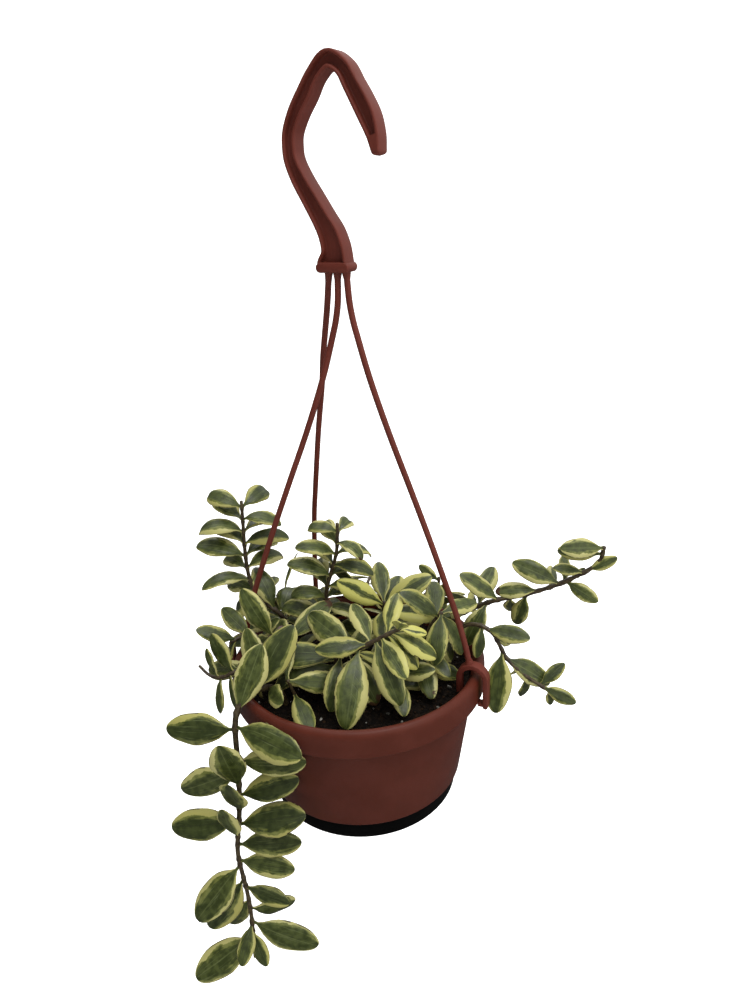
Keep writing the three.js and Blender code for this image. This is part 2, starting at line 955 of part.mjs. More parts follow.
// Hook, arms and clips come out of the mould as one piece
function hanger() {
  const recess = standing(hookShape(HOOK_LIP, RECESS_END), HOOK_RECESS);
  const push = (HOOK_THICKNESS - HOOK_RECESS) / 2 + 0.01;
  const yaw = radians(HOOK_YAW);
  const side = new THREE.Vector3(-Math.sin(yaw), Math.cos(yaw), 0);
  let body = solid(standing(hookShape(0, 1), HOOK_THICKNESS));
  for (const way of [-1, 1]) {
    const pocket = recess.clone().translate(side.x * push * way, side.y * push * way, 0);
    body = body.subtract(solid(pocket));
  }
  const foot = new THREE.Shape();
  foot.absarc(FOOT_LEFT, HOOK_BASE_Z + FOOT_BEAD, FOOT_BEAD, Math.PI / 2, -Math.PI / 2, false);
  foot.absarc(FOOT_RIGHT, HOOK_BASE_Z + FOOT_BEAD, FOOT_BEAD, -Math.PI / 2, Math.PI / 2, false);
  body = body.add(solid(standing(foot, HOOK_THICKNESS + 0.8)));
  const section = new THREE.Shape().absarc(0, 0, ARM_RADIUS, 0, 2 * Math.PI, false);
  for (const arm of ARMS) {
    const path = new THREE.CatmullRomCurve3(armPoints(arm), false, "catmullrom", 0.5);
    const rod = new THREE.ExtrudeGeometry(section, {
      steps: ARM_TURNS,
      curveSegments: ARM_SIDES / 2,
      extrudePath: path,
      bevelEnabled: false,
    });
    const root = armPoints(arm)[0];
    const fillet = new THREE.CylinderGeometry(ARM_RADIUS + 0.8, ARM_RADIUS, 2.4, 10).rotateX(Math.PI / 2);
    fillet.translate(root.x, root.y, HOOK_BASE_Z - 0.8);
    body = body.add(solid(rod)).add(solid(fillet)).add(clip(arm.azimuth));
  }
  return geometryOf(body);
}

// A line through points, with each one's distance from the start
function lineThrough(points) {
  const reach = [0];
  for (let k = 1; k < points.length; k += 1) reach.push(reach[k - 1] + points[k].distanceTo(points[k - 1]));
  return { points, reach, length: reach[points.length - 1] };
}

// A stem's middle line: points evenly spaced along a smooth curve through its route
function stemLine(route) {
  const curve = new THREE.CatmullRomCurve3(route.map(vector), false, "catmullrom", 0.5);
  const fine = lineThrough(curve.getPoints((route.length - 1) * ROUTE_STEPS));
  const count = Math.round(fine.length / STEM_STEP);
  const points = [];
  for (let k = 0; k <= count; k += 1) points.push(along(fine, (fine.length * k) / count).place);
  return lineThrough(points);
}

function along(line, distance) {
  let k = 1;
  while (k < line.reach.length - 1 && line.reach[k] < distance) k += 1;
  const share = (distance - line.reach[k - 1]) / (line.reach[k] - line.reach[k - 1]);
  const place = line.points[k - 1].clone().lerp(line.points[k], share);
  const way = line.points[k].clone().sub(line.points[k - 1]).normalize();
  return { place, way };
}

// Two directions square to the stem: the first lies in the plane of the stem and the picture
function squareTo(way) {
  const first = way.clone().cross(new THREE.Vector3(0, 1, 0)).normalize();
  const second = way.clone().cross(first);
  return { first, second };
}

// A leaf's frame, from its foot on the stem: along it, across it, and square to its face
function makeLeaf(stem, bud, foot, way, turn, lift, size) {
  const { first, second } = squareTo(way);
  const lean = radians(bud.lean);
  const light = vector(stem.light).normalize().add(bud.tilt).normalize();
  const ahead = way.clone().multiplyScalar(Math.cos(lean));
  ahead.addScaledVector(first, Math.sin(lean) * Math.cos(turn));
  ahead.addScaledVector(second, Math.sin(lean) * Math.sin(turn));
  ahead.z -= stem.hang;
  ahead.addScaledVector(light, lift).normalize();
  const face = light.clone().addScaledVector(ahead, -light.dot(ahead)).normalize();
  const side = ahead.clone().cross(face);
  return { foot, ahead, face, side, size, arch: radians(bud.arch), breadth: stem.breadth ?? LEAF_WIDTH };
}

// Half the leaf's width at u along it: it tapers to its foot and is blunt at its tip
function halfWidth(leaf, u) {
  const share = u / leaf.size;
  if (share < PETIOLE_SHARE) return PETIOLE_HALF;
  const blade = Math.min((share - PETIOLE_SHARE) / (1 - PETIOLE_SHARE), 1);
  const taper = LEAF_FOOT_TAPER + (LEAF_TIP_TAPER - LEAF_FOOT_TAPER) * blade;
  const swell = Math.pow(Math.sin(Math.PI * Math.pow(blade, LEAF_BROADEST)), taper);
  return Math.max(PETIOLE_HALF * (1 - blade), (leaf.size * leaf.breadth * swell) / 2);
}

// The point at u along the leaf, v across it and w above its middle skin
function onLeaf(leaf, u, v, w) {
  const bend = leaf.size / leaf.arch;
  const out = bend + w + LEAF_FOLD * Math.abs(v);
  const point = leaf.foot.clone().addScaledVector(leaf.side, v);
  point.addScaledVector(leaf.ahead, Math.sin(u / bend) * out);
  return point.addScaledVector(leaf.face, Math.cos(u / bend) * out - bend);
}

// The same the other way: where a point is as seen by the leaf
function fromLeaf(leaf, point) {
  const bend = leaf.size / leaf.arch;
  const offset = point.clone().sub(leaf.foot);
  const x = offset.dot(leaf.ahead);
  const z = offset.dot(leaf.face) + bend;
  const v = offset.dot(leaf.side);
  return { u: bend * Math.atan2(x, z), v, w: Math.hypot(x, z) - bend - LEAF_FOLD * Math.abs(v) };
}

function over(leaf, u, v, margin) {
  return u > -margin && u < leaf.size + margin && Math.abs(v) < halfWidth(leaf, u) + margin;
}

// Whether a short straight edge passes through a leaf, or comes too near its face
function meets(leaf, start, end, gap, margin) {
  const a = fromLeaf(leaf, start);
  const b = fromLeaf(leaf, end);
  if (Math.abs(a.w) < gap && over(leaf, a.u, a.v, margin)) return true;
  if (Math.abs(b.w) < gap && over(leaf, b.u, b.v, margin)) return true;
  if (a.w * b.w >= 0) return false;
  const share = a.w / (a.w - b.w);
  return over(leaf, a.u + (b.u - a.u) * share, a.v + (b.v - a.v) * share, margin);
}

// The lines of a net over a leaf, as pairs of points
function netOf(leaf) {
  const rows = NET_STATIONS.map((share) => {
    const half = halfWidth(leaf, share * leaf.size) * 0.9;
    return [-half, 0, half].map((v) => onLeaf(leaf, share * leaf.size, v, 0));
  });
  const edges = [];
  rows.forEach((row, k) => {
    edges.push([row[0], row[1]], [row[1], row[2]]);
    if (k > 0) row.forEach((point, c) => edges.push([rows[k - 1][c], point]));
  });
  return edges;
}

// Pot and soil, as a leaf meets them
function inPot(point) {
  const radius = Math.hypot(point.x, point.y);
  if (point.z > 1.6 || point.z < SAUCER_BASE_Z - 1) return false;
  if (point.z > -RIM_DEPTH - 1.5 && radius > RIM_RADIUS - 8.5 && radius < RIM_RADIUS + 1.5) return true;
  if (radius < RIM_RADIUS - 8 && point.z < SOIL_Z + 3) return true;
  const share = (point.z + RIM_DEPTH) / (WALL_FOOT_Z + RIM_DEPTH);
  const wall = WALL_TOP_RADIUS + (WALL_FOOT_RADIUS - WALL_TOP_RADIUS) * share;
  return point.z <= -RIM_DEPTH && radius < wall + 1.5;
}

function centreOf(leaf) {
  return onLeaf(leaf, leaf.size / 2, 0, 0);
}

// Whether a leaf lies clear of the pot, of the arms, clips and stems, and of the leaves before it
function isClear(leaf, rods, leaves) {
  const net = netOf(leaf);
  const centre = centreOf(leaf);
  if (net.some(([start, end]) => inPot(start) || inPot(end))) return false;
  for (const rod of rods) {
    for (let k = 1; k < rod.points.length; k += 1) {
      if (rod.points[k].distanceTo(centre) > leaf.size) continue;
      const gap = rod.radius + 1.1;
      if (meets(leaf, rod.points[k - 1], rod.points[k], gap, rod.radius + 0.4)) return false;
    }
  }
  for (const other of leaves) {
    if (centre.distanceTo(other.centre) > (leaf.size + other.size) * 0.6) continue;
    if (net.some(([start, end]) => meets(other, start, end, BLADE_GAP, BLADE_MARGIN))) return false;
    if (other.net.some(([start, end]) => meets(leaf, start, end, BLADE_GAP, BLADE_MARGIN))) return false;
  }
  return true;
}

// A clip as an obstacle for leaves: the middle line of its band
function clipPoints(azimuth) {
  const turn = radians(azimuth);
  const middle = (CLIP_INNER_RADIUS + CLIP_OUTER_RADIUS) / 2;
  const reach = (CLIP_OUTER_RADIUS - CLIP_INNER_RADIUS) / 2;
  const points = [[middle - reach, CLIP_INNER_Z]];
  for (let k = 0; k <= 6; k += 1) {
    const angle = Math.PI - (Math.PI * k) / 6;
    points.push([middle + reach * Math.cos(angle), reach * Math.sin(angle) - 1]);
  }
  points.push([middle + reach, -9], [middle + reach, CLIP_OUTER_Z - 1.5]);
  return points.map(([radius, z]) => new THREE.Vector3(radius * Math.cos(turn), radius * Math.sin(turn), z));
}

// Where a stem's leaves start: placed by hand where the stem lists them, or else in crossed pairs to its tip
function budsOf(stem) {
  const random = draws(stem.seed);
  const bud = (distance, turn, lean, size) => ({
    distance,
    turn,
    lean,
    size,
    arch: stem.arch * (0.75 + 0.5 * random()),
    hand: random() < 0.5 ? 1 : -1,
    tilt: vector([random() - 0.5, random() - 0.5, random() - 0.5]).multiplyScalar(LEAF_TILT),
  });
  if (stem.placed) return stem.placed.map(([distance, turn, lean, size]) => bud(distance, turn, lean, size));
  const buds = [];
  for (let k = 0; stem.first + k * stem.step < stem.line.length - 1; k += 1) {
    const distance = stem.first + k * stem.step;
    const share = distance / stem.line.length;
    const grown = stem.size * (1 - (1 - stem.taper) * share * share);
    for (const side of [0, 180]) {
      const turn = stem.spin + (stem.cross ?? CROSSED) * (k % 2) + side + (random() - 0.5) * 26;
      buds.push(bud(distance, turn, stem.lean, grown * (0.86 + 0.22 * random())));
    }
  }
  return buds;
}

// Grows every stem's leaves in turn, each turned or shortened until it has room
function growLeaves() {
  const rods = ARMS.map((arm) => ({
    points: new THREE.CatmullRomCurve3(armPoints(arm), false, "catmullrom", 0.5).getPoints(60),
    radius: ARM_RADIUS,
  }));
  for (const arm of ARMS) rods.push({ points: clipPoints(arm.azimuth), radius: CLIP_WIDTH / 2 + 0.4 });
  const stems = STEMS.map((stem) => ({ ...stem, line: stemLine(stem.route), leaves: [] }));
  const placed = [];
  stems.forEach((stem, index) => {
    const others = stems.filter((other, k) => k !== index);
    const solids = [...rods, ...others.map((other) => ({ points: other.line.points, radius: other.radius }))];
    for (const bud of budsOf(stem)) {
      const { place, way } = along(stem.line, bud.distance);
      for (const [swing, lift, fit] of WAYS) {
        const turn = radians(bud.turn + swing * bud.hand);
        const leaf = makeLeaf(stem, bud, place, way, turn, lift, bud.size * fit);
        if (!isClear(leaf, solids, placed)) continue;
        leaf.net = netOf(leaf);
        leaf.centre = centreOf(leaf);
        placed.push(leaf);
        stem.leaves.push(leaf);
        break;
      }
    }
  });
  return stems;
}

// One leaf: a thick-ribbed blade that thins to its edges, with its foot sunk in the stem
function leafSolid(leaf) {
  const rings = LEAF_STATIONS.map((share) => {
    const u = share * leaf.size;
    const half = halfWidth(leaf, u);
    const rib = LEAF_RIB * (1.15 - 0.5 * share);
    return [[-half, 0], [0, rib], [half, 0], [0, -rib]].map(([v, w]) => onLeaf(leaf, u, v, w));
  });
  return solid(loft(onLeaf(leaf, 0, 0, 0), rings, onLeaf(leaf, leaf.size, 0, 0)));
}

// One stem with its leaves
function leafyStem(stem) {
  const rings = stem.line.points.map((place, k) => {
    const { first, second } = squareTo(along(stem.line, stem.line.reach[k]).way);
    const radius = stem.radius * (1 + (TIP_SHARE - 1) * (k / (stem.line.points.length - 1)));
    const ring = [];
    for (let s = 0; s < STEM_SIDES; s += 1) {
      const turn = (2 * Math.PI * s) / STEM_SIDES;
      const point = place.clone().addScaledVector(first, radius * Math.cos(turn));
      ring.push(point.addScaledVector(second, radius * Math.sin(turn)));
    }
    return ring;
  });
  const start = along(stem.line, 0).place;
  const tip = along(stem.line, stem.line.length);
  const end = tip.place.clone().addScaledVector(tip.way, stem.radius);
  const solids = [solid(loft(start, rings, end)), ...stem.leaves.map(leafSolid)];
  return geometryOf(wasm.Manifold.union(solids));
}

function material(slot) {
  return new THREE.MeshStandardMaterial({ name: slot, ...COLOURS[slot] });
}

const plant = new THREE.Group();
function addPiece(name, geometry, slot) {
  const mesh = new THREE.Mesh(geometry, material(slot));
  mesh.name = name;
  plant.add(mesh);
}

const stems = growLeaves();
addPiece("pot", pot(), "terracotta_plastic");
addPiece("drip_saucer", dripSaucer(), "black_plastic");
addPiece("soil", soil(stems.map((stem) => [stem.route[0][0], stem.route[0][1], stem.radius])), "soil");
addPiece("hanger", hanger(), "terracotta_plastic");
for (const stem of stems) addPiece(stem.name, leafyStem(stem), "foliage");

const yaw = radians(HOOK_YAW);
plant.position.set(-BEARING_REACH * Math.cos(yaw), -BEARING_REACH * Math.sin(yaw), -BEARING_Z);

export default plant;
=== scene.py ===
import math
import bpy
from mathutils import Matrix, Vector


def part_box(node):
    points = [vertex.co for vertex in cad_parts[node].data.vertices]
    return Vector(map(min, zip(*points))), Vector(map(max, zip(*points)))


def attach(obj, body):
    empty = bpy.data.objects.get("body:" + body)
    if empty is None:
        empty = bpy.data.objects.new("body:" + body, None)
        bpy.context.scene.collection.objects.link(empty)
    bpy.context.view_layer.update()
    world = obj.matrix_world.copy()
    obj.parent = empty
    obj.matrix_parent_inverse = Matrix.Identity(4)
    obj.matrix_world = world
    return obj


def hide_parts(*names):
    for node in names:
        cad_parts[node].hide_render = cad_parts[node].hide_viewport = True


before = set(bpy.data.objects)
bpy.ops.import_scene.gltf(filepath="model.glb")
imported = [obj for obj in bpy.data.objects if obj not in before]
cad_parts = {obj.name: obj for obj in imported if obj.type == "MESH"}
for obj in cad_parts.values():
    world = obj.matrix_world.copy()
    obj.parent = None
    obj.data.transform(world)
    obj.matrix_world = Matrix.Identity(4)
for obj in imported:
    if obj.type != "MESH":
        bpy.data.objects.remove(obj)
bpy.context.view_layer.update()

from types import SimpleNamespace

import bmesh
import bpy
import numpy as np
from mathutils import Euler, Matrix, Vector, noise

# The photographer stood in front and a little above, with the camera tipped down towards the pot. Its place
# and its turns are those at which the pot's rim, its saucer and the hook fall where they do in the
# photograph.
CAMERA_PLACE = Vector((0.01027, -0.3823, -0.0571))
CAMERA_TIP = math.radians(90 - 21.46)
CAMERA_ROLL = math.radians(-2.87)

camera = bpy.data.objects.new("camera", bpy.data.cameras.new("camera"))
camera.data.lens = 27
camera.data.clip_start = 0.01
turned = Matrix.Rotation(CAMERA_TIP, 4, "X") @ Matrix.Rotation(CAMERA_ROLL, 4, "Z")
camera.matrix_world = Matrix.Translation(CAMERA_PLACE) @ turned
bpy.context.collection.objects.link(camera)
bpy.context.scene.camera = camera

# The pot is thin moulded plastic the colour of fired clay: a floor, a foot, a tapering wall and a rolled rim
# with a skirt. It is drawn as half a section and spun, and the drain holes are cut afterwards. Sizes are
# millimetres from the centre of the rim's top, which the CAD pot's box gives.
RIM_RADIUS = 75
RIM_DEPTH = 16
WALL = 1.5
WALL_TOP_RADIUS = 69
WALL_FOOT_RADIUS = 59.7
WALL_FOOT_Z = -75
FOOT_RADIUS = 55.4
POT_FLOOR_Z = -81
POT_TURNS = 120
DRAIN_HOLES = 6
DRAIN_RADIUS = 4
DRAIN_CIRCLE = 36
# the plastic's patches of tone to a metre, how much finer its orange peel is, and its relief in metres
PLASTIC_CLOUDS = 60
PEEL_FINER = 28.0
RELIEF_DEPTH = 0.0002

pot_low, pot_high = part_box("pot")
rim_centre = Vector(((pot_low.x + pot_high.x) / 2, (pot_low.y + pot_high.y) / 2, pot_high.z))
TO_FRAME = Matrix.Translation(rim_centre) @ Matrix.Scale(0.001, 4)


def colour(red, green, blue):
    """A screen colour as the linear one that a shader takes"""
    shares = [value / 255 for value in (red, green, blue)]
    return (*[s / 12.92 if s <= 0.04045 else ((s + 0.055) / 1.055) ** 2.4 for s in shares], 1)


def add(tree, kind, inputs=None, **settings):
    """A node with its settings made, and its inputs linked to sockets or set to values"""
    node = tree.nodes.new(kind)
    for name, value in settings.items():
        setattr(node, name, value)
    for name, value in (inputs or {}).items():
        if isinstance(value, bpy.types.NodeSocket):
            tree.links.new(value, node.inputs[name])
        else:
            node.inputs[name].default_value = value
    return node


def math_of(operation, first, second=0.0):
    """A sum in the shader, where at least one of the two values is a socket"""
    socket = first if isinstance(first, bpy.types.NodeSocket) else second
    return add(socket.id_data, "ShaderNodeMath", {0: first, 1: second}, operation=operation).outputs[0]


def plus(first, second):
    return math_of("ADD", first, second)


def minus(first, second):
    return math_of("SUBTRACT", first, second)


def times(first, second):
    return math_of("MULTIPLY", first, second)


def mixed(share, first, second):
    """The first colour where the share is 0 and the second where it is 1"""
    return add(share.id_data, "ShaderNodeMix", {0: share, 6: first, 7: second}, data_type="RGBA").outputs[2]


def ramp(value, low, high, low_out=0.0, high_out=1.0):
    """A smooth step from one value to another between low and high"""
    inputs = {"Value": value, "From Min": low, "From Max": high, "To Min": low_out, "To Max": high_out}
    return add(value.id_data, "ShaderNodeMapRange", inputs, interpolation_type="SMOOTHSTEP").outputs[0]


def noise_of(place, scale, detail, roughness=0.5):
    inputs = {"Vector": place, "Scale": scale, "Detail": detail, "Roughness": roughness}
    return add(place.id_data, "ShaderNodeTexNoise", inputs).outputs["Fac"]


def add_relief(shader, height, strength, depth):
    """Bumps a shader's surface by a height that stands for up to the depth in metres"""
    inputs = {"Height": height, "Strength": strength, "Distance": depth}
    normal = add(height.id_data, "ShaderNodeBump", inputs).outputs["Normal"]
    height.id_data.links.new(normal, shader.inputs["Normal"])


def new_material(name):
    material = bpy.data.materials.new(name)
    material.use_nodes = True
    return material, material.node_tree, material.node_tree.nodes["Principled BSDF"]


def new_group(name, inputs, outputs):
    """An empty shader node group with its sockets, and its two end nodes"""
    group = bpy.data.node_groups.new(name, "ShaderNodeTree")
    for way, sockets in (("INPUT", inputs), ("OUTPUT", outputs)):
        for socket, kind in sockets.items():
            group.interface.new_socket(socket, in_out=way, socket_type=kind)
    return group, group.nodes.new("NodeGroupInput"), group.nodes.new("NodeGroupOutput")


# what every moulded plastic face here has: faint cloudy tone, uneven gloss, and a low orange-peel relief
moulded_skin, skin_in, skin_out = new_group(
    "moulded skin",
    {"Scale": "NodeSocketFloat", "Gloss": "NodeSocketFloat"},
    {"Tone": "NodeSocketFloat", "Roughness": "NodeSocketFloat", "Height": "NodeSocketFloat"},
)
place = add(moulded_skin, "ShaderNodeTexCoord").outputs["Object"]
clouds = noise_of(place, skin_in.outputs["Scale"], 5)
peel = noise_of(place, times(skin_in.outputs["Scale"], PEEL_FINER), 2)
gloss = plus(skin_in.outputs["Gloss"], times(minus(clouds, 0.5), 0.3))
for name, value in (("Tone", clouds), ("Roughness", gloss), ("Height", peel)):
    moulded_skin.links.new(value, skin_out.inputs[name])


def plastic(name, dark, light, gloss, relief, shine):
    """Moulded plastic whose colour drifts between two near tones"""
    material, tree, shader = new_material(name)
    skin = add(tree, "ShaderNodeGroup", node_tree=moulded_skin)
    skin.inputs["Scale"].default_value = PLASTIC_CLOUDS
    skin.inputs["Gloss"].default_value = gloss
    tone = ramp(skin.outputs["Tone"], 0.35, 0.65)
    tree.links.new(mixed(tone, colour(*dark), colour(*light)), shader.inputs["Base Color"])
    tree.links.new(skin.outputs["Roughness"], shader.inputs["Roughness"])
    shader.inputs["Specular IOR Level"].default_value = shine
    add_relief(shader, skin.outputs["Height"], relief, RELIEF_DEPTH)
    return material


def rounded(corners, radius, steps, closed=False):
    """A line's corners, each cut back by up to the radius and turned into a short curve"""
    points = [Vector(corner) for corner in corners]
    out = []
    for k, corner in enumerate(points):
        if not closed and k in (0, len(points) - 1):
            out.append(corner)
            continue
        before = points[k - 1] - corner
        after = points[(k + 1) % len(points)] - corner
        start = corner + before * min(0.45, radius / before.length)
        end = corner + after * min(0.45, radius / after.length)
        for step in range(steps + 1):
            share = step / steps
            out.append(start.lerp(corner, share).lerp(corner.lerp(end, share), share))
    return out


def spun(bm, profile, turns, centre=(0, 0)):
    """A closed body from half a section, as (radius, height) points that start and end on the axis"""
    x, y = centre
    verts = [bm.verts.new((x + point[0], y, point[1])) for point in profile]
    edges = [bm.edges.new(pair) for pair in zip(verts, verts[1:])]
    bmesh.ops.spin(
        bm, geom=verts + edges, cent=(x, y, 0), axis=(0, 0, 1), dvec=(0, 0, 0),
        angle=2 * math.pi, steps=turns, use_merge=True,
    )


def object_of(bm, name):
    """A mesh object with merged doubles and faces outwards, taken from rim millimetres into the frame"""
    bmesh.ops.remove_doubles(bm, verts=bm.verts, dist=0.0005)
    bmesh.ops.dissolve_degenerate(bm, edges=bm.edges, dist=0.0001)
    bmesh.ops.recalc_face_normals(bm, faces=bm.faces)
    bm.transform(TO_FRAME)
    mesh = bpy.data.meshes.new(name)
    bm.to_mesh(mesh)
    bm.free()
    piece = bpy.data.objects.new(name, mesh)
    bpy.context.collection.objects.link(piece)
    return piece


def finished(piece, material, sharp=35):
    """Smooth shading up to an angle, and the piece's one material"""
    piece.data.materials.clear()
    piece.data.materials.append(material)
    piece.data.shade_smooth()
    piece.data.set_sharp_from_angle(angle=math.radians(sharp))
    return piece


def spoke(radius, turn):
    """The point a radius out from the axis, at a turn in radians"""
    return radius * math.cos(turn), radius * math.sin(turn)


def cut(piece, tools):
    """Cuts closed tools out of a piece"""
    for tool in tools:
        modifier = piece.modifiers.new("cut", "BOOLEAN")
        modifier.object = tool
        modifier.solver = "EXACT"
        with bpy.context.temp_override(object=piece, active_object=piece):
            bpy.ops.object.modifier_apply(modifier=modifier.name)
        bpy.data.objects.remove(tool)


terracotta = plastic("terracotta plastic", (71, 29, 18), (76, 32, 21), gloss=0.46, relief=0.2, shine=0.14)
profile = [
    (0, POT_FLOOR_Z + WALL),
    (FOOT_RADIUS - WALL, POT_FLOOR_Z + WALL),
    (FOOT_RADIUS - WALL, WALL_FOOT_Z + WALL),
    (WALL_FOOT_RADIUS - WALL, WALL_FOOT_Z + WALL),
    (WALL_TOP_RADIUS - WALL, -RIM_DEPTH),
    (WALL_TOP_RADIUS - WALL + 0.6, -4),
    (RIM_RADIUS - 5, -1),
    (RIM_RADIUS - 3.4, 0),
    (RIM_RADIUS - 1.6, -0.5),
    (RIM_RADIUS - 0.4, -2),
    (RIM_RADIUS, -4),
    (RIM_RADIUS, -RIM_DEPTH),
    (RIM_RADIUS - WALL, -RIM_DEPTH),
    (RIM_RADIUS - WALL, -4.5),
    (WALL_TOP_RADIUS + 0.6, -4.5),
    (WALL_TOP_RADIUS, -RIM_DEPTH),
    (WALL_FOOT_RADIUS, WALL_FOOT_Z),
    (FOOT_RADIUS, WALL_FOOT_Z),
    (FOOT_RADIUS, POT_FLOOR_Z),
    (0, POT_FLOOR_Z),
]
bm = bmesh.new()
spun(bm, rounded(profile, radius=0.9, steps=4), POT_TURNS)
pot = object_of(bm, "hanging_pot")
drills = []
for k in range(DRAIN_HOLES):
    spot = (*spoke(DRAIN_CIRCLE, 2 * math.pi * k / DRAIN_HOLES), POT_FLOOR_Z)
    bm = bmesh.new()
    bmesh.ops.create_cone(
        bm, cap_ends=True, segments=24, radius1=DRAIN_RADIUS, radius2=DRAIN_RADIUS, depth=5 * WALL,
        matrix=Matrix.Translation(spot),
    )
    drills.append(object_of(bm, "drill"))
cut(pot, drills)
finished(pot, terracotta)
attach(pot, "root")
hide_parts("pot")

# The drip saucer is a shallow black plastic dish. Three prongs on its floor stand up through every second
# drain hole of the pot and snap over the pot's floor with their heads, which is all that holds it there.
SAUCER_TOP_RADIUS = 57.6
SAUCER_BASE_RADIUS = 56.6
SAUCER_TOP_Z = -75.6
SAUCER_BASE_Z = -87
SAUCER_WALL = 1.2
PRONG_RADIUS = 2.6
PRONG_HEAD = 1.1
GAP = 0.3

black = plastic("black plastic", (3, 3, 3), (5, 5, 5), gloss=0.6, relief=0.2, shine=0.06)
inside = SAUCER_BASE_Z + SAUCER_WALL
head_z = POT_FLOOR_Z + WALL + GAP
dish = [
    (0, SAUCER_BASE_Z),
    (SAUCER_BASE_RADIUS, SAUCER_BASE_Z),
    (SAUCER_TOP_RADIUS, SAUCER_TOP_Z),
    (SAUCER_TOP_RADIUS - SAUCER_WALL, SAUCER_TOP_Z),
    (SAUCER_BASE_RADIUS - SAUCER_WALL, inside),
    (0, inside),
]
prong = [
    (0, inside - 0.5),
    (PRONG_RADIUS + 1.4, inside - 0.5),
    (PRONG_RADIUS + 1.4, POT_FLOOR_Z - GAP),
    (PRONG_RADIUS, POT_FLOOR_Z - GAP),
    (PRONG_RADIUS, head_z),
    (PRONG_RADIUS + PRONG_HEAD, head_z + 0.4),
    (PRONG_RADIUS - 0.6, head_z + 2.6),
    (0, head_z + 2.6),
]
bm = bmesh.new()
spun(bm, rounded(dish, radius=1, steps=4), POT_TURNS)
for k in range(0, DRAIN_HOLES, 2):
    spot = spoke(DRAIN_CIRCLE, 2 * math.pi * k / DRAIN_HOLES)
    spun(bm, rounded(prong, radius=0.3, steps=2), turns=24, centre=spot)
saucer = finished(object_of(bm, "drip_saucer_dish"), black)
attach(saucer, "root")
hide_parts("drip_saucer")

# The soil is damp dark peat, packed to a little under the rim, with crumbs and bark fibre lying loose on top
# and white perlite grains through it. The bed is spun and then roughened, and the bits are small lumps
# pressed into its face.
SOIL_Z = -14
SOIL_RELIEF = 1.1
SOIL_CRUMBLE = 0.9
SOIL_SIDE = WALL_TOP_RADIUS - WALL - GAP
SOIL_FOOT = WALL_FOOT_RADIUS - WALL - GAP
BED_RINGS = 38
BED_TURNS = 150
CRUMBS = 1500
FIBRES = 170
GRAINS = 110
LUMP_TILT = 0.35
LUMP_ROUGHNESS = 0.13


def bed_height(x, y):
    """The soil's face: low lumps, with crumbly relief on them"""
    lumps = math.sin(x * 0.31 + 1) * math.cos(y * 0.27) + 0.6 * math.sin(x * 0.13 - y * 0.19)
    rough = noise.fractal(Vector((x, y, 3)) * 0.22, 1, 2, 4)
    return SOIL_Z + SOIL_RELIEF * lumps * 0.6 + SOIL_CRUMBLE * rough


def soil_material(name, dark, light):
    """A dull crumbly finish whose colour drifts between two tones"""
    material, tree, shader = new_material(name)
    place = add(tree, "ShaderNodeTexCoord").outputs["Object"]
    coarse = noise_of(place, 420, 6)
    crumbs = add(tree, "ShaderNodeTexVoronoi", {"Vector": place, "Scale": 900}).outputs["Distance"]
    tone = ramp(coarse, 0.4, 0.7)
    tree.links.new(mixed(tone, colour(*dark), colour(*light)), shader.inputs["Base Color"])
    shader.inputs["Roughness"].default_value = 0.95
    shader.inputs["Specular IOR Level"].default_value = 0.08
    add_relief(shader, plus(coarse, crumbs), strength=0.8, depth=3 * RELIEF_DEPTH)
    return material


def scatter(bm, count, seed, smallest, largest, stretch):
    """Lumps lying on the bed, each a faceted ball pulled out of round and turned at random"""
    random = np.random.default_rng(seed)
    for _ in range(count):
        reach = (SOIL_SIDE - 2.5) * math.sqrt(random.uniform())
        x, y = spoke(reach, random.uniform(0, 2 * math.pi))
        radius = random.uniform(smallest, largest)
        where = Matrix.Translation((x, y, bed_height(x, y) + radius * random.uniform(-0.2, 0.5)))
        tilts = [random.normal(0, LUMP_TILT) for _ in range(2)]
        turn = Euler((*tilts, random.uniform(0, 2 * math.pi))).to_matrix().to_4x4()
        sizes = (radius * stretch, radius * random.uniform(0.7, 1), radius * random.uniform(0.5, 0.9), 1)
        shape = where @ turn @ Matrix.Diagonal(sizes)
        for vert in bmesh.ops.create_icosphere(bm, subdivisions=1, radius=1, matrix=shape)["verts"]:
            vert.co += Vector(random.normal(0, LUMP_ROUGHNESS * radius, 3))


bed = [
    (0, POT_FLOOR_Z + WALL + GAP),
    (FOOT_RADIUS - WALL - GAP, POT_FLOOR_Z + WALL + GAP),
    (FOOT_RADIUS - WALL - GAP, WALL_FOOT_Z + WALL + GAP),
    (SOIL_FOOT, WALL_FOOT_Z + WALL + GAP),
    (SOIL_SIDE - 0.4, SOIL_Z - 2),
]
bed += [((SOIL_SIDE - 1.4) * (1 - k / BED_RINGS), SOIL_Z) for k in range(BED_RINGS + 1)]
bm = bmesh.new()
spun(bm, bed, BED_TURNS)
for vert in bm.verts:
    if vert.co.z > SOIL_Z - 1:
        vert.co.z = bed_height(vert.co.x, vert.co.y)
peat = soil_material("damp peat", (10, 7, 5), (26, 19, 13))
soil_bed = finished(object_of(bm, "peat_bed"), peat, sharp=60)

bm = bmesh.new()
scatter(bm, CRUMBS, seed=5, smallest=0.4, largest=1.3, stretch=1)
scatter(bm, FIBRES, seed=7, smallest=0.35, largest=0.6, stretch=5)
loose_peat = soil_material("peat crumbs", (14, 9, 6), (44, 31, 20))
soil_crumbs = finished(object_of(bm, "peat_crumbs"), loose_peat, sharp=60)

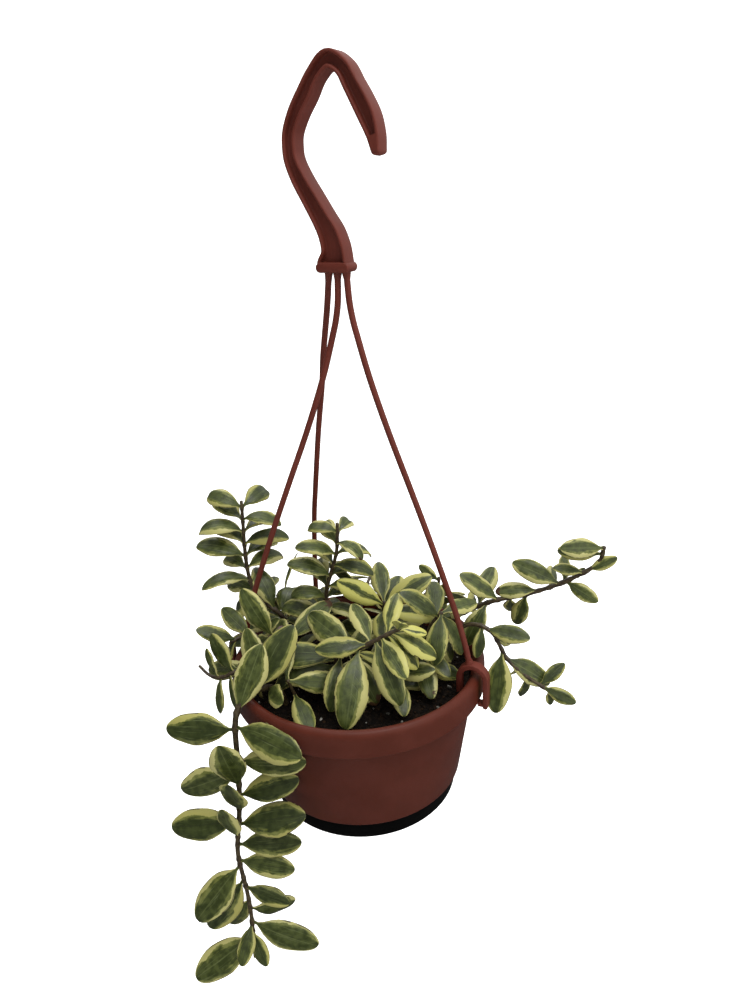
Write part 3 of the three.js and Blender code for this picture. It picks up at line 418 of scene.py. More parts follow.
bm = bmesh.new()
scatter(bm, GRAINS, seed=9, smallest=0.5, largest=1.4, stretch=1.2)
perlite = soil_material("perlite", (84, 82, 76), (168, 165, 156))
grains = finished(object_of(bm, "perlite_grains"), perlite, sharp=60)
for piece in (soil_bed, soil_crumbs, grains):
    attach(piece, "root")
    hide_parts("soil")

# The hanger is one piece of a like plastic, coloured a shade paler than the pot as painted light for the
# brighter light its hook and arms catch. Its hook is a flat bar with a deep channel moulded into both faces,
# which stands on a beaded foot. Three round arms drop from the foot to saddle clips that snap over the pot's
# rim.
HOOK_YAW = -30
HOOK_THICKNESS = 9
HOOK_LIP = 1.7
HOOK_RECESS = 3.2
HOOK_BASE_Z = 218.6
FOOT_BEAD = 2.4
FOOT_LEFT = -5.3
FOOT_RIGHT = 8.7
ARM_RADIUS = 1.65
ARM_SPACING = 4.95
ARM_MIDDLE = 2.2
CLIP_REACH = 69
CLIP_TOP_Z = 8.4
CLIP_WIDTH = 5.6
CLIP_THICKNESS = 3
CLIP_INNER_RADIUS = 63.6
CLIP_OUTER_RADIUS = 79
CLIP_INNER_Z = -11
CLIP_OUTER_Z = -17.5
# the middle of a clip's bend over the rim, and the bend's radius
CLIP_MIDDLE = (CLIP_INNER_RADIUS + CLIP_OUTER_RADIUS) / 2
CLIP_BEND = (CLIP_OUTER_RADIUS - CLIP_INNER_RADIUS) / 2
# where the hook's channel starts and ends, as shares of the line, and how steep its end walls are
RECESS_START = 0.012
RECESS_END = 0.945
RECESS_WALL = 0.02
# how far the neck flares into the foot on its left and on its right, and over what height
FLARE_LEFT = 3.2
FLARE_RIGHT = 1.4
FLARE_HEIGHT = 5
HOOK_STEPS = 6
ARM_STEPS = 6
ARM_FILLET = 0.8
# the hook's middle line in its own plane, as (across, height, half width)
HOOK_LINE = [
    (2.4, 221, 6.4), (2.4, 229, 6.3), (0.4, 236.5, 5.7), (-3.4, 243.5, 4.9), (-8.6, 252.2, 4.5),
    (-14.4, 261.8, 4.1), (-17.9, 270, 3.7), (-18.4, 276.5, 3.6), (-17.4, 282.5, 3.6), (-13.4, 290, 3.8),
    (-8, 297, 3.9), (-2.3, 304.4, 3.5), (5.2, 309.6, 3.9), (12.6, 305.8, 3.8), (17, 298.5, 4),
    (21, 291.5, 4.3), (24.4, 284.8, 4.2), (26.9, 277.6, 3.2), (28, 270.8, 2),
]
# how an arm runs from the foot to its clip, as (share of the reach, height above the rim)
SIDE_ARM = [
    (0, 220), (0.01, 206), (0.03, 197), (0.064, 188), (0.16, 166), (0.31, 138), (0.5, 106), (0.68, 75),
    (0.87, 40), (0.96, 20), (1, 8),
]
BACK_ARM = [
    (0, 220), (0.097, 201), (0.266, 175), (0.342, 159), (0.536, 128), (0.75, 88), (0.86, 65), (0.97, 27),
    (1, 8),
]
# each arm's place on the foot, the way round the pot to its clip, and its route
ARMS = [(-1, 114, BACK_ARM), (0, 170, SIDE_ARM), (1, -25, SIDE_ARM)]


def curve_points(points, places):
    """Points of a smooth curve through the given ones, at places counted in spans from its start"""
    knots = np.array(points, float)
    knots = np.vstack([2 * knots[0] - knots[1], knots, 2 * knots[-1] - knots[-2]])
    places = np.asarray(places, float)
    span = np.minimum(np.floor(places).astype(int), len(points) - 2)
    share = (places - span)[:, None]
    before, start, end, after = (knots[span + k] for k in range(4))
    away = (end - before) / 2
    into = (after - start) / 2
    bend = 3 * (end - start) - 2 * away - into
    ease = 2 * (start - end) + away + into
    return start + away * share + bend * share**2 + ease * share**3


def places_of(points, steps):
    """Places along a line's points, counted in spans, with so many steps to a span"""
    return np.arange((len(points) - 1) * steps + 1) / steps


def sheet(bm, rows):
    """A grid of faces laid through rows of points; a row all at one point closes that end once merged"""
    columns = len(rows[0]) - 1
    spans = len(rows) - 1
    placed = {}
    for vert in bmesh.ops.create_grid(bm, x_segments=columns, y_segments=spans, size=1)["verts"]:
        column = round((vert.co.x + 1) / 2 * columns)
        row = round((vert.co.y + 1) / 2 * spans)
        vert.co = rows[row][column]
        placed[row, column] = vert
    return [placed[key] for key in sorted(placed)]


def square_to(way):
    """Two directions square to a way and to each other"""
    first = np.cross(way, (0, 1, 0))
    first /= np.linalg.norm(first)
    return first, np.cross(way, first)


def tube(bm, points, radii, sides):
    """A round rod along points, drawn in to a point at each end"""
    points = np.asarray(points, float)
    ways = np.gradient(points, axis=0)
    ways /= np.linalg.norm(ways, axis=1)[:, None]
    turns = np.linspace(0, 2 * math.pi, sides + 1)[:, None]
    rows = [np.repeat(points[:1] - ways[:1] * radii[0] * 0.3, sides + 1, axis=0)]
    for point, way, radius in zip(points, ways, radii):
        first, second = square_to(way)
        rows.append(point + radius * (np.cos(turns) * first + np.sin(turns) * second))
    rows.append(np.repeat(points[-1:] + ways[-1:] * radii[-1] * 0.6, sides + 1, axis=0))
    return sheet(bm, rows)


def hook_rows():
    """The hook's channelled section at every step of its line, with rounded lips and a rounded tip"""
    start, end = (share * (len(HOOK_LINE) - 1) for share in (RECESS_START, RECESS_END))
    walls = [start, start + RECESS_WALL, end, end + RECESS_WALL]
    places = np.array(sorted([*places_of(HOOK_LINE, HOOK_STEPS), *walls]))
    line = curve_points(HOOK_LINE, places)
    flare = np.exp(-(((line[:, 1] - HOOK_LINE[0][1]) / FLARE_HEIGHT) ** 2))
    line[:, 0] += flare * (FLARE_RIGHT - FLARE_LEFT) / 2
    line[:, 2] += flare * (FLARE_RIGHT + FLARE_LEFT) / 2
    ways = np.gradient(line[:, :2], places, axis=0)
    ways /= np.linalg.norm(ways, axis=1)[:, None]
    thick = HOOK_THICKNESS / 2
    rows = []
    for place, (across, height, half), way in zip(places, line, ways):
        hollow = start + RECESS_WALL / 2 < place < end + RECESS_WALL / 2
        depth = thick - HOOK_RECESS if hollow else thick - 0.01
        lip = half - HOOK_LIP
        corners = [
            (half, -thick), (half, thick), (lip, thick), (lip, depth), (-lip, depth), (-lip, thick),
            (-half, thick), (-half, -thick), (-lip, -thick), (-lip, -depth), (lip, -depth), (lip, -thick),
        ]
        section = rounded(corners, radius=0.8, steps=3, closed=True)
        section.append(section[0])
        rows.append([(across + p[0] * way[1], p[1], height - p[0] * way[0]) for p in section])
    centre = np.array([line[-1][0], 0, line[-1][1]])
    tip = np.array(rows[-1])
    forward = np.array([ways[-1][0], 0, ways[-1][1]]) * line[-1][2]
    for share in (0.4, 0.75, 1):
        shrink = math.sqrt(1 - share**2)
        rows.append(centre + (tip - centre) * shrink + forward * share)
    rows.insert(0, [(line[0][0], 0, line[0][1])] * len(rows[0]))
    return rows


def slab(bm, outline, thickness, edge):
    """A flat outline in the plane of x and z, given a thickness along y and softened edges"""
    verts = [bm.verts.new((x, -thickness / 2, z)) for x, z in outline]
    face = bm.faces.new(verts)
    made = bmesh.ops.extrude_face_region(bm, geom=[face])["geom"]
    far = [item for item in made if isinstance(item, bmesh.types.BMVert)]
    bmesh.ops.translate(bm, verts=far, vec=(0, thickness, 0))
    around = [item for item in bm.edges if item.is_valid and set(item.verts) <= set(verts)]
    around += [item for item in made if isinstance(item, bmesh.types.BMEdge)]
    bmesh.ops.bevel(
        bm, geom=list(set(around)), offset=edge, offset_type="OFFSET", segments=3, profile=0.5,
        affect="EDGES", material=-1, clamp_overlap=True,
    )


def arc(x, z, radius, start, end, steps):
    """Points round part of a circle, between two turns in degrees"""
    turns = np.radians(np.linspace(start, end, steps + 1))
    return [(x + radius * math.cos(turn), z + radius * math.sin(turn)) for turn in turns]


def clip_outline():
    """A saddle clip's band, which runs up inside the rim, over it, and down outside"""
    half = CLIP_THICKNESS / 2
    springing = CLIP_TOP_Z - CLIP_BEND - half
    outline = [(CLIP_MIDDLE - CLIP_BEND - half, CLIP_INNER_Z)]
    outline += arc(CLIP_MIDDLE, springing, CLIP_BEND + half, 180, 0, 20)
    outline += arc(CLIP_MIDDLE + CLIP_BEND, CLIP_OUTER_Z, half, 0, -180, 8)
    outline += arc(CLIP_MIDDLE, springing, CLIP_BEND - half, 0, 180, 20)
    outline.append((CLIP_MIDDLE - CLIP_BEND + half, CLIP_INNER_Z))
    return outline


def arm_points(place, azimuth, route):
    """An arm's middle line from the hook's foot to its clip"""
    root = np.array(spoke(ARM_MIDDLE + place * ARM_SPACING, math.radians(HOOK_YAW)))
    end = np.array(spoke(CLIP_REACH, math.radians(azimuth)))
    return [(*(root + (end - root) * share), height) for share, height in route]


bm = bmesh.new()
sheet(bm, hook_rows())
foot = arc(FOOT_LEFT, HOOK_BASE_Z + FOOT_BEAD, FOOT_BEAD, 90, 270, 10)
foot += arc(FOOT_RIGHT, HOOK_BASE_Z + FOOT_BEAD, FOOT_BEAD, -90, 90, 10)
slab(bm, foot, thickness=HOOK_THICKNESS + 0.8, edge=0.8)
bm.transform(Matrix.Rotation(math.radians(HOOK_YAW), 4, "Z"))
# the barb inside the outer end of each clip, which catches under the rim's skirt
barb_x = CLIP_OUTER_RADIUS - CLIP_THICKNESS / 2 - 1.2
barb_z = -RIM_DEPTH - GAP
barb = [(barb_x - 1.7, barb_z), (barb_x + 1.7, barb_z)]
barb += [(barb_x + 1.7, barb_z - 1.2), (barb_x - 1.2, barb_z - 1.2)]
for place, azimuth, route in ARMS:
    knots = arm_points(place, azimuth, route)
    line = curve_points(knots, places_of(knots, ARM_STEPS))
    fillet = ARM_FILLET * np.clip(1 - (HOOK_BASE_Z - line[:, 2]) / FOOT_BEAD, 0, 1)
    tube(bm, line, ARM_RADIUS + fillet, sides=20)
    clip = bmesh.new()
    slab(clip, clip_outline(), CLIP_WIDTH, edge=0.5)
    slab(clip, barb, CLIP_WIDTH, edge=0.2)
    bmesh.ops.create_cone(
        clip, cap_ends=True, segments=20, radius1=CLIP_WIDTH / 2, radius2=ARM_RADIUS * 1.1, depth=4,
        matrix=Matrix.Translation((CLIP_REACH, 0, CLIP_TOP_Z)),
    )
    clip.transform(Matrix.Rotation(math.radians(azimuth), 4, "Z"))
    held = bpy.data.meshes.new("clip")
    clip.to_mesh(held)
    clip.free()
    bm.from_mesh(held)
    bpy.data.meshes.remove(held)
# painted light: the pot's plastic made paler to stand in for the brighter light the hook and arms catch
hanger_plastic_painted_lighter = plastic("hanger plastic painted lighter", (86, 38, 29), (92, 42, 33), gloss=0.46, relief=0.2, shine=0.14)
hanger = finished(object_of(bm, "hook_and_arms"), hanger_plastic_painted_lighter)
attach(hanger, "root")
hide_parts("hanger")

# The plant roots in the soil as separate leafy stems, each one grown piece. The stems are round, swell at
# each leaf's foot and thin to their tips. The leaves are stiff, fleshy and folded along the rib, and face the
# light. The routes, and the rule by which each leaf finds room, are those of the CAD model, in millimetres
# from the rim's centre.
STEM_STEP = 8.5
ROUTE_STEPS = 8
# the heights in the soil that every stem stands straight between
ROOT_HEIGHTS = (-24, -17)
TIP_SHARE = 0.62
LEAF_WIDTH = 0.42
LEAF_BROADEST = 1.02
LEAF_TILT = 0.7
LEAF_FOOT_TAPER = 0.66
LEAF_TIP_TAPER = 0.52
LEAF_FOLD = 0.22
PETIOLE_SHARE = 0.1
PETIOLE_HALF = 1
TURN_SCATTER = 26
# how far leaves keep from each other, from stems and arms, and from the pot and the soil
BLADE_GAP = 2
BLADE_MARGIN = 0.8
ROD_GAP = 1.1
ROD_MARGIN = 0.4
POT_GAP = 1.5
SOIL_GAP = 3
NET_STATIONS = np.array([0.12, 0.26, 0.4, 0.55, 0.7, 0.85, 1])
# the ways a crowded leaf can turn to find room, as (degrees round the stem, lift towards the light, size)
WAYS = [
    (0, 0, 1), (14, 0, 1), (-14, 0, 1), (0, 0.3, 1), (0, -0.3, 1), (28, 0, 1), (-28, 0, 1),
    (16, 0.35, 0.92), (-16, 0.35, 0.92), (16, -0.35, 0.92), (-16, -0.35, 0.92), (42, 0.2, 0.86),
    (-42, 0.2, 0.86), (0, 0.8, 0.86), (0, -0.7, 0.86), (0, 0, 0.7), (35, 0.5, 0.7), (-35, 0.5, 0.7),
    (0, 0.5, 0.55),
]
# what a stem has unless it says otherwise: its radius, how much its leaves hang, their width as a share of
# their length, and how far each pair is turned from the last
COMMON_STEM = dict(radius=1.5, hang=0, breadth=LEAF_WIDTH, cross=90)
# Each stem also gives its root in the soil, its route from there, how far its leaves arch and where they look
# for light. A regular stem gives the first pair's place, the step between pairs, the leaf length, its share
# at the tip, the first turn and the lean. The others place each leaf, as (distance along the stem, turn round
# it, lean out from it, length).
STEMS = [dict(
    name="stem_trailing_front", root=(-42, -28),
    route=[
        (-42.5, -28.5, -9), (-48, -34, 2), (-57, -42.5, 6), (-64, -49, 2), (-67, -52, -12), (-68, -53, -38),
        (-71, -53, -68), (-75, -53, -95), (-74.4, -53, -112), (-73.1, -53, -128), (-72.4, -54, -147),
        (-73.5, -55, -180),
    ],
    radius=1.8, breadth=0.43, hang=0.1, arch=20, light=(-0.1, -0.9, 0.45), seed=11,
    placed=[
        (66, 184, 88, 41), (92, 180, 66, 42), (128, 180, 78, 44), (40, 175, 103, 42), (56, 95, 166, 40),
        (64, 26, 96, 44), (86, 30, 110, 42), (110, 20, 126, 38), (131, 24, 128, 44), (146, 14, 110, 38),
        (158, 20, 96, 34), (103, 108, 152, 44), (120, 98, 158, 40), (140, 118, 158, 34), (162, 160, 54, 46),
        (173, 140, 50, 44), (179, 20, 74, 28), (206, 12, 66, 46), (218, 162, 66, 46), (190, 195, 44, 36),
        (196, 335, 66, 34), (208, 120, 34, 24), (214, 60, 52, 22), (46, 150, 80, 34), (34, 200, 80, 34),
        (30, 110, 60, 30), (36, 320, 80, 26),
    ],
), dict(
    name="stem_upright_left", root=(-38, 22),
    route=[
        (-38.5, 22, -9), (-42, 23, 6), (-48, 24, 15), (-56, 26, 22), (-62, 28, 29), (-65, 29, 38),
        (-66, 30, 51), (-65.6, 30, 66), (-65, 30, 78), (-64.6, 30, 89),
    ],
    radius=1.6, first=30, step=8, size=34, taper=0.9, spin=-28, cross=56, lean=46, arch=96,
    light=(0, -0.5, 0.9), seed=23,
), dict(
    name="stem_upright_middle", root=(-20, 12),
    route=[
        (-20, 12, -9), (-20, 11, 5), (-19.5, 10, 18), (-17, 10, 36), (-13.4, 9, 49), (-9.6, 8, 61),
        (-8, 7, 72), (-7.5, 6, 82),
    ],
    first=34, step=7.5, size=32, taper=0.75, spin=-26, cross=52, lean=42, arch=112, light=(0, -0.45, 0.9),
    seed=31,
), dict(
    name="stem_arching_front", root=(-15, -20),
    route=[
        (-14.7, -20.5, -9), (-13, -25, 4), (-11.7, -27, 12), (-8.7, -30, 18), (3.6, -34, 25), (14.7, -36, 32),
        (25, -36, 37),
    ],
    hang=0.25, arch=36, light=(0, -0.6, 0.8), seed=47,
    placed=[
        (30, 200, 70, 28), (34, 20, 80, 30), (42, 5, 118, 40), (54, 340, 112, 38), (65, 320, 84, 28),
        (63, 20, 122, 29), (57, 125, 92, 44), (50, 175, 84, 38), (44, 150, 100, 36), (68, 125, 84, 37),
        (72, 100, 66, 28), (76, 330, 60, 26), (78, 165, 34, 31), (76, 150, 50, 28), (82, 30, 60, 22),
        (83, 200, 50, 18),
    ],
), dict(
    name="stem_sprout_back_right", root=(48, 28),
    route=[
        (48.2, 28.2, -9), (50, 29, 6), (51.5, 30, 18), (51.7, 30, 32),
    ],
    radius=1.2, first=26, step=14, size=21, taper=0.7, spin=0, lean=50, arch=45, light=(0, -0.8, 0.6),
    seed=53,
), dict(
    name="stem_long_right", root=(50, 10),
    route=[
        (50.5, 10, -9), (54, 11, 3), (60, 12, 13), (68.4, 10, 19.5), (79.5, 6, 26.3), (88.6, 4, 29.5),
        (97.5, 2, 31.7), (106.3, 0, 35.4), (115, -2, 39.2), (123.4, -4, 43.9), (130.2, -5, 48.1),
        (136, -5.5, 52), (140.2, -6, 57.5), (141, -7, 65),
    ],
    radius=1.7, arch=38, light=(0, -0.85, 0.5), seed=61,
    placed=[
        (46, 60, 70, 30), (47, 250, 75, 28), (56, 300, 60, 30), (62, 110, 128, 30), (64, 330, 125, 20),
        (69, 15, 112, 29), (76, 200, 100, 22), (86, 180, 128, 25), (93, 5, 148, 26), (100, 270, 70, 24),
        (106, 10, 118, 30), (109, 300, 60, 20), (110, 185, 58, 25), (113, 90, 30, 13), (121, 15, 118, 18),
        (124, 80, 18, 18), (130, 175, 130, 26), (137, 350, 92, 25), (141, 25, 78, 27),
    ],
), dict(
    name="stem_drooping_right", root=(48, -8),
    route=[
        (48.5, -8, -9), (52, -7, 5), (57, -7, 14), (63, -8, 19.5), (70, -11, 21.5), (77, -15, 19),
        (81, -18, 12.5), (85.5, -20, 3.5), (91, -22, -2.3), (98, -24, -8), (105, -26, -12.3),
        (110.5, -28, -16),
    ],
    hang=0.05, arch=22, light=(0.2, -0.8, 0.5), seed=71,
    placed=[
        (44, 270, 70, 30), (58, 185, 78, 35), (60, 120, 30, 37), (61, 20, 34, 26), (70, 300, 70, 26),
        (77, 175, 42, 37), (82, 5, 34, 31), (90, 350, 62, 16), (91, 230, 70, 18), (96, 60, 32, 20),
        (98, 190, 52, 20), (100, 5, 92, 20), (107, 350, 76, 19), (107, 180, 56, 20), (109, 30, 18, 20),
        (113, 185, 50, 12),
    ],
), dict(
    name="stem_inner_right", root=(34, -12),
    route=[
        (34.2, -12.2, -9), (37, -14, 6), (40, -15, 18), (44, -16, 28), (49, -17, 34),
    ],
    radius=1.4, hang=0.15, arch=44, light=(0.1, -0.6, 0.8), seed=83,
    placed=[
        (60, 148, 78, 34), (50, 150, 90, 34), (54, 178, 96, 36), (34, 165, 80, 28), (61, 75, 110, 30),
        (58, 20, 60, 30), (56, 300, 60, 28), (61, 240, 40, 26), (44, 60, 80, 28), (40, 10, 75, 26),
        (30, 90, 75, 28), (24, 200, 80, 30),
    ],
), dict(
    name="stem_short_front", root=(20, -24),
    route=[
        (20.2, -24.3, -9), (20.8, -26, -2), (21.3, -28, 4),
    ],
    hang=0.1, arch=66, light=(0, -0.35, 1), seed=97,
    placed=[
        (14, 200, 75, 30), (16, 20, 85, 28), (18, 140, 95, 32), (20, 100, 75, 32), (22, 250, 62, 30),
        (25, 180, 70, 30), (26, 155, 48, 38), (27, 60, 70, 28), (28, 330, 40, 24),
    ],
), dict(
    name="stem_middle_right", root=(15, 4),
    route=[
        (15, 4, -9), (15.4, 3, 8), (16, 2, 21), (17, 1, 33),
    ],
    hang=0.1, arch=44, light=(0, -0.55, 0.85), seed=101,
    placed=[
        (54, 180, 42, 34), (50, 165, 66, 34), (55, 20, 50, 32), (46, 40, 90, 30), (46, 110, 100, 24),
        (50, 90, 60, 28), (44, 200, 85, 32), (38, 150, 80, 30), (36, 10, 80, 30), (56, 300, 40, 28),
        (30, 100, 75, 28), (52, 250, 55, 30),
    ],
), dict(
    name="stem_bare_tip_left", root=(-52, -6),
    route=[
        (-52.5, -6.5, -9), (-57, -13, 2), (-62, -22, 8), (-68, -27, 9), (-75.7, -27, 5.5), (-83.7, -24, 5),
        (-89.5, -22, 10.5),
    ],
    radius=1.3, hang=0.1, arch=30, light=(-0.4, -0.7, 0.6), seed=113,
    placed=[
        (58, 30, 80, 22), (52, 20, 90, 22), (44, 10, 100, 34), (50, 200, 80, 26), (40, 150, 70, 30),
        (36, 330, 70, 30), (46, 270, 60, 26), (60, 170, 70, 18),
    ],
), dict(
    name="stem_left_inner", root=(-30, -8),
    route=[
        (-30, -8.3, -9), (-32, -10, 5), (-36, -13, 16), (-42, -16, 23), (-49, -18, 25),
    ],
    hang=0.3, arch=36, light=(-0.2, -0.75, 0.65), seed=127,
    placed=[
        (28, 60, 100, 34), (22, 80, 80, 28), (16, 60, 85, 32), (34, 20, 75, 36), (40, 95, 75, 34),
        (46, 200, 80, 34), (50, 40, 60, 36), (56, 150, 50, 36), (57, 330, 60, 34), (44, 280, 70, 32),
        (34, 250, 70, 30), (26, 200, 75, 30),
    ],
), dict(
    name="stem_low_left", root=(-34, -34),
    route=[
        (-34.2, -34.3, -9), (-36, -36, 0), (-38, -38, 9),
    ],
    radius=1.3, hang=0.15, arch=34, light=(0, -0.7, 0.7), seed=163,
    placed=[
        (33, 160, 95, 30), (32, 70, 80, 36), (28, 20, 90, 34), (26, 200, 85, 26), (22, 110, 90, 28),
        (34, 260, 40, 30),
    ],
), dict(
    name="stem_left_rim", root=(-52, 14),
    route=[
        (-52.3, 13.5, -9), (-55, 9, 4), (-60, 4, 12), (-67, 0, 15), (-75, -4, 13),
    ],
    radius=1.3, first=26, step=9, size=28, taper=0.85, spin=60, lean=64, hang=0.3, arch=30,
    light=(-0.4, -0.5, 0.8), seed=131,
), dict(
    name="stem_back_middle", root=(0, 34),
    route=[
        (0, 34.3, -9), (1, 38, 2), (3, 46, 10), (6, 56, 14), (8, 67, 14), (9, 78, 9),
    ],
    first=20, step=11, size=32, taper=0.85, spin=30, lean=68, hang=0.3, arch=34, light=(0, 0.4, 0.9),
    seed=139,
), dict(
    name="stem_back_left", root=(-34, 44),
    route=[
        (-34.3, 44.3, -9), (-37, 49, 2), (-43, 56, 9), (-50, 64, 10), (-55, 71, 3), (-57, 75, -12),
        (-58, 77, -34),
    ],
    first=20, step=14, size=33, taper=0.85, spin=30, lean=68, hang=0.3, arch=28, light=(-0.4, 0.6, 0.7),
    seed=149,
), dict(
    name="stem_back_right", root=(32, 38),
    route=[
        (32.3, 38.3, -9), (36, 43, 2), (43, 50, 8), (51, 58, 8), (57, 65, 0), (59, 69, -16), (60, 71, -38),
        (61, 72, -58),
    ],
    first=20, step=14, size=33, taper=0.8, spin=50, lean=68, hang=0.3, arch=28, light=(0.4, 0.6, 0.7),
    seed=157,
)]


def unit(vector):
    return np.asarray(vector, float) / np.linalg.norm(vector)


def draws(seed):
    """The same numbers in the same order for one seed"""
    state = seed

    def draw():
        nonlocal state
        state = (state * 1664525 + 1013904223) % 4294967296
        return state / 4294967296

    return draw


def line_through(points):
    """A line of points with how far along it each one is"""
    steps = np.linalg.norm(np.diff(points, axis=0), axis=1)
    reach = np.concatenate([[0], np.cumsum(steps)])
    return SimpleNamespace(points=points, reach=reach, length=reach[-1])


def spot_on(line, distance):
    """The point at a distance along a line, and the way the line runs there"""
    k = min(max(int(np.searchsorted(line.reach, distance)), 1), len(line.reach) - 1)
    share = (distance - line.reach[k - 1]) / (line.reach[k] - line.reach[k - 1])
    step = line.points[k] - line.points[k - 1]
    return line.points[k - 1] + step * share, unit(step)


def stem_line(root, route):
    """A stem's middle line: points evenly spaced along a smooth curve through its root and its route"""
    knots = [(*root, height) for height in ROOT_HEIGHTS] + route
    fine = line_through(curve_points(knots, places_of(knots, ROUTE_STEPS)))
    count = math.floor(fine.length / STEM_STEP + 0.5)
    return line_through(np.array([spot_on(fine, fine.length * k / count)[0] for k in range(count + 1)]))


def make_leaf(stem, bud, foot, way, turn, lift, size):
    """A leaf's frame: along it, across it, and square to its face"""
    first, second = square_to(way)
    lean = math.radians(bud.lean)
    light = unit(unit(stem.light) + bud.tilt)
    ahead = way * math.cos(lean) + (first * math.cos(turn) + second * math.sin(turn)) * math.sin(lean)
    ahead = ahead - np.array([0, 0, stem.hang]) + light * lift
    ahead = unit(ahead)
    face = unit(light - ahead * light.dot(ahead))
    return SimpleNamespace(
        foot=foot, ahead=ahead, face=face, side=np.cross(ahead, face), size=size,
        bend=size / math.radians(bud.arch), breadth=stem.breadth,
    )


def half_width(leaf, u):
    """Half the leaf's width at u along it: it tapers to its foot and is blunt at its tip"""
    share = u / leaf.size
    blade = np.clip((share - PETIOLE_SHARE) / (1 - PETIOLE_SHARE), 0, None)
    inner = np.minimum(blade, 1)
    taper = LEAF_FOOT_TAPER + (LEAF_TIP_TAPER - LEAF_FOOT_TAPER) * inner
    swell = np.clip(np.sin(math.pi * inner**LEAF_BROADEST), 0, None) ** taper
    half = np.maximum(PETIOLE_HALF * (1 - blade), leaf.size * leaf.breadth * swell / 2)
    return np.where(share < PETIOLE_SHARE, PETIOLE_HALF, half)


def on_leaf(leaf, u, v, w, fold):
    """The points at u along the leaf, v across it and w above its middle skin"""
    out = (leaf.bend + w + fold)[..., None]
    turn = (u / leaf.bend)[..., None]
    point = leaf.foot + leaf.side * v[..., None] + leaf.ahead * np.sin(turn) * out
    return point + leaf.face * (np.cos(turn) * out - leaf.bend)


def from_leaf(leaf, points):
    """The same the other way: where points are as seen by the leaf"""
    offset = points - leaf.foot
    x = offset @ leaf.ahead
    z = offset @ leaf.face + leaf.bend
    v = offset @ leaf.side
    return leaf.bend * np.arctan2(x, z), v, np.hypot(x, z) - leaf.bend - LEAF_FOLD * np.abs(v)


def over(leaf, u, v, margin):
    """Whether points seen by a leaf lie within a margin of its outline"""
    inside = (u > -margin) & (u < leaf.size + margin)
    return inside & (np.abs(v) < half_width(leaf, u) + margin)


def meets(leaf, starts, ends, gap, margin):
    """Whether any short straight edge passes through a leaf, or comes too near its face"""
    au, av, aw = from_leaf(leaf, starts)
    bu, bv, bw = from_leaf(leaf, ends)
    near = (np.abs(aw) < gap) & over(leaf, au, av, margin)
    near |= (np.abs(bw) < gap) & over(leaf, bu, bv, margin)
    crossing = aw * bw < 0
    share = aw / np.where(crossing, aw - bw, 1)
    near |= crossing & over(leaf, au + (bu - au) * share, av + (bv - av) * share, margin)
    return near


def net_of(leaf):
    """The lines of a net over a leaf, as their starts and ends"""
    u = np.repeat((NET_STATIONS * leaf.size)[:, None], 3, axis=1)
    v = half_width(leaf, u) * 0.9 * np.array([-1, 0, 1])
    rows = on_leaf(leaf, u, v, np.zeros_like(u), LEAF_FOLD * np.abs(v))
    starts = [rows[:, 0], rows[:, 1], rows[:-1].reshape(-1, 3)]
    ends = [rows[:, 1], rows[:, 2], rows[1:].reshape(-1, 3)]
    return np.concatenate(starts), np.concatenate(ends)


def in_pot(points):
    """Pot and soil, as a leaf meets them"""
    radius = np.hypot(points[:, 0], points[:, 1])
    z = points[:, 2]
    rim = (z > -RIM_DEPTH - POT_GAP) & (radius > RIM_RADIUS - 8.5) & (radius < RIM_RADIUS + POT_GAP)
    bed = (radius < RIM_RADIUS - 8) & (z < SOIL_Z + SOIL_GAP)
    share = (z + RIM_DEPTH) / (WALL_FOOT_Z + RIM_DEPTH)
    wall = WALL_TOP_RADIUS + (WALL_FOOT_RADIUS - WALL_TOP_RADIUS) * share
    side = (z <= -RIM_DEPTH) & (radius < wall + POT_GAP)
    return (z <= 1.6) & (z >= SAUCER_BASE_Z - 1) & (rim | bed | side)


def centre_of(leaf):
    nothing = np.array(0.0)
    return on_leaf(leaf, np.array(leaf.size / 2), nothing, nothing, nothing)


def is_clear(leaf, rods, leaves):
    """Whether a leaf lies clear of the pot, of the arms, clips and stems, and of the leaves before it"""
    starts, ends = net_of(leaf)
    centre = centre_of(leaf)
    if in_pot(starts).any() or in_pot(ends).any():
        return False
    for rod in rods:
        close = np.linalg.norm(rod.points[1:] - centre, axis=1) <= leaf.size
        if not close.any():
            continue
        begin, finish = rod.points[:-1][close], rod.points[1:][close]
        if meets(leaf, begin, finish, rod.radius + ROD_GAP, rod.radius + ROD_MARGIN).any():
            return False
    for other in leaves:
        if np.linalg.norm(centre - other.centre) > (leaf.size + other.size) * 0.6:
            continue
        if meets(other, starts, ends, BLADE_GAP, BLADE_MARGIN).any():
            return False
        if meets(leaf, *other.net, BLADE_GAP, BLADE_MARGIN).any():
            return False
    return True


def clip_points(azimuth):
    """A clip as an obstacle for leaves: the middle line of its band"""
    flat = [(CLIP_MIDDLE - CLIP_BEND, CLIP_INNER_Z), *arc(CLIP_MIDDLE, -1, CLIP_BEND, 180, 0, 6)]
    flat += [(CLIP_MIDDLE + CLIP_BEND, z) for z in (-9, CLIP_OUTER_Z)]
    return np.array([(*spoke(radius, math.radians(azimuth)), z) for radius, z in flat])


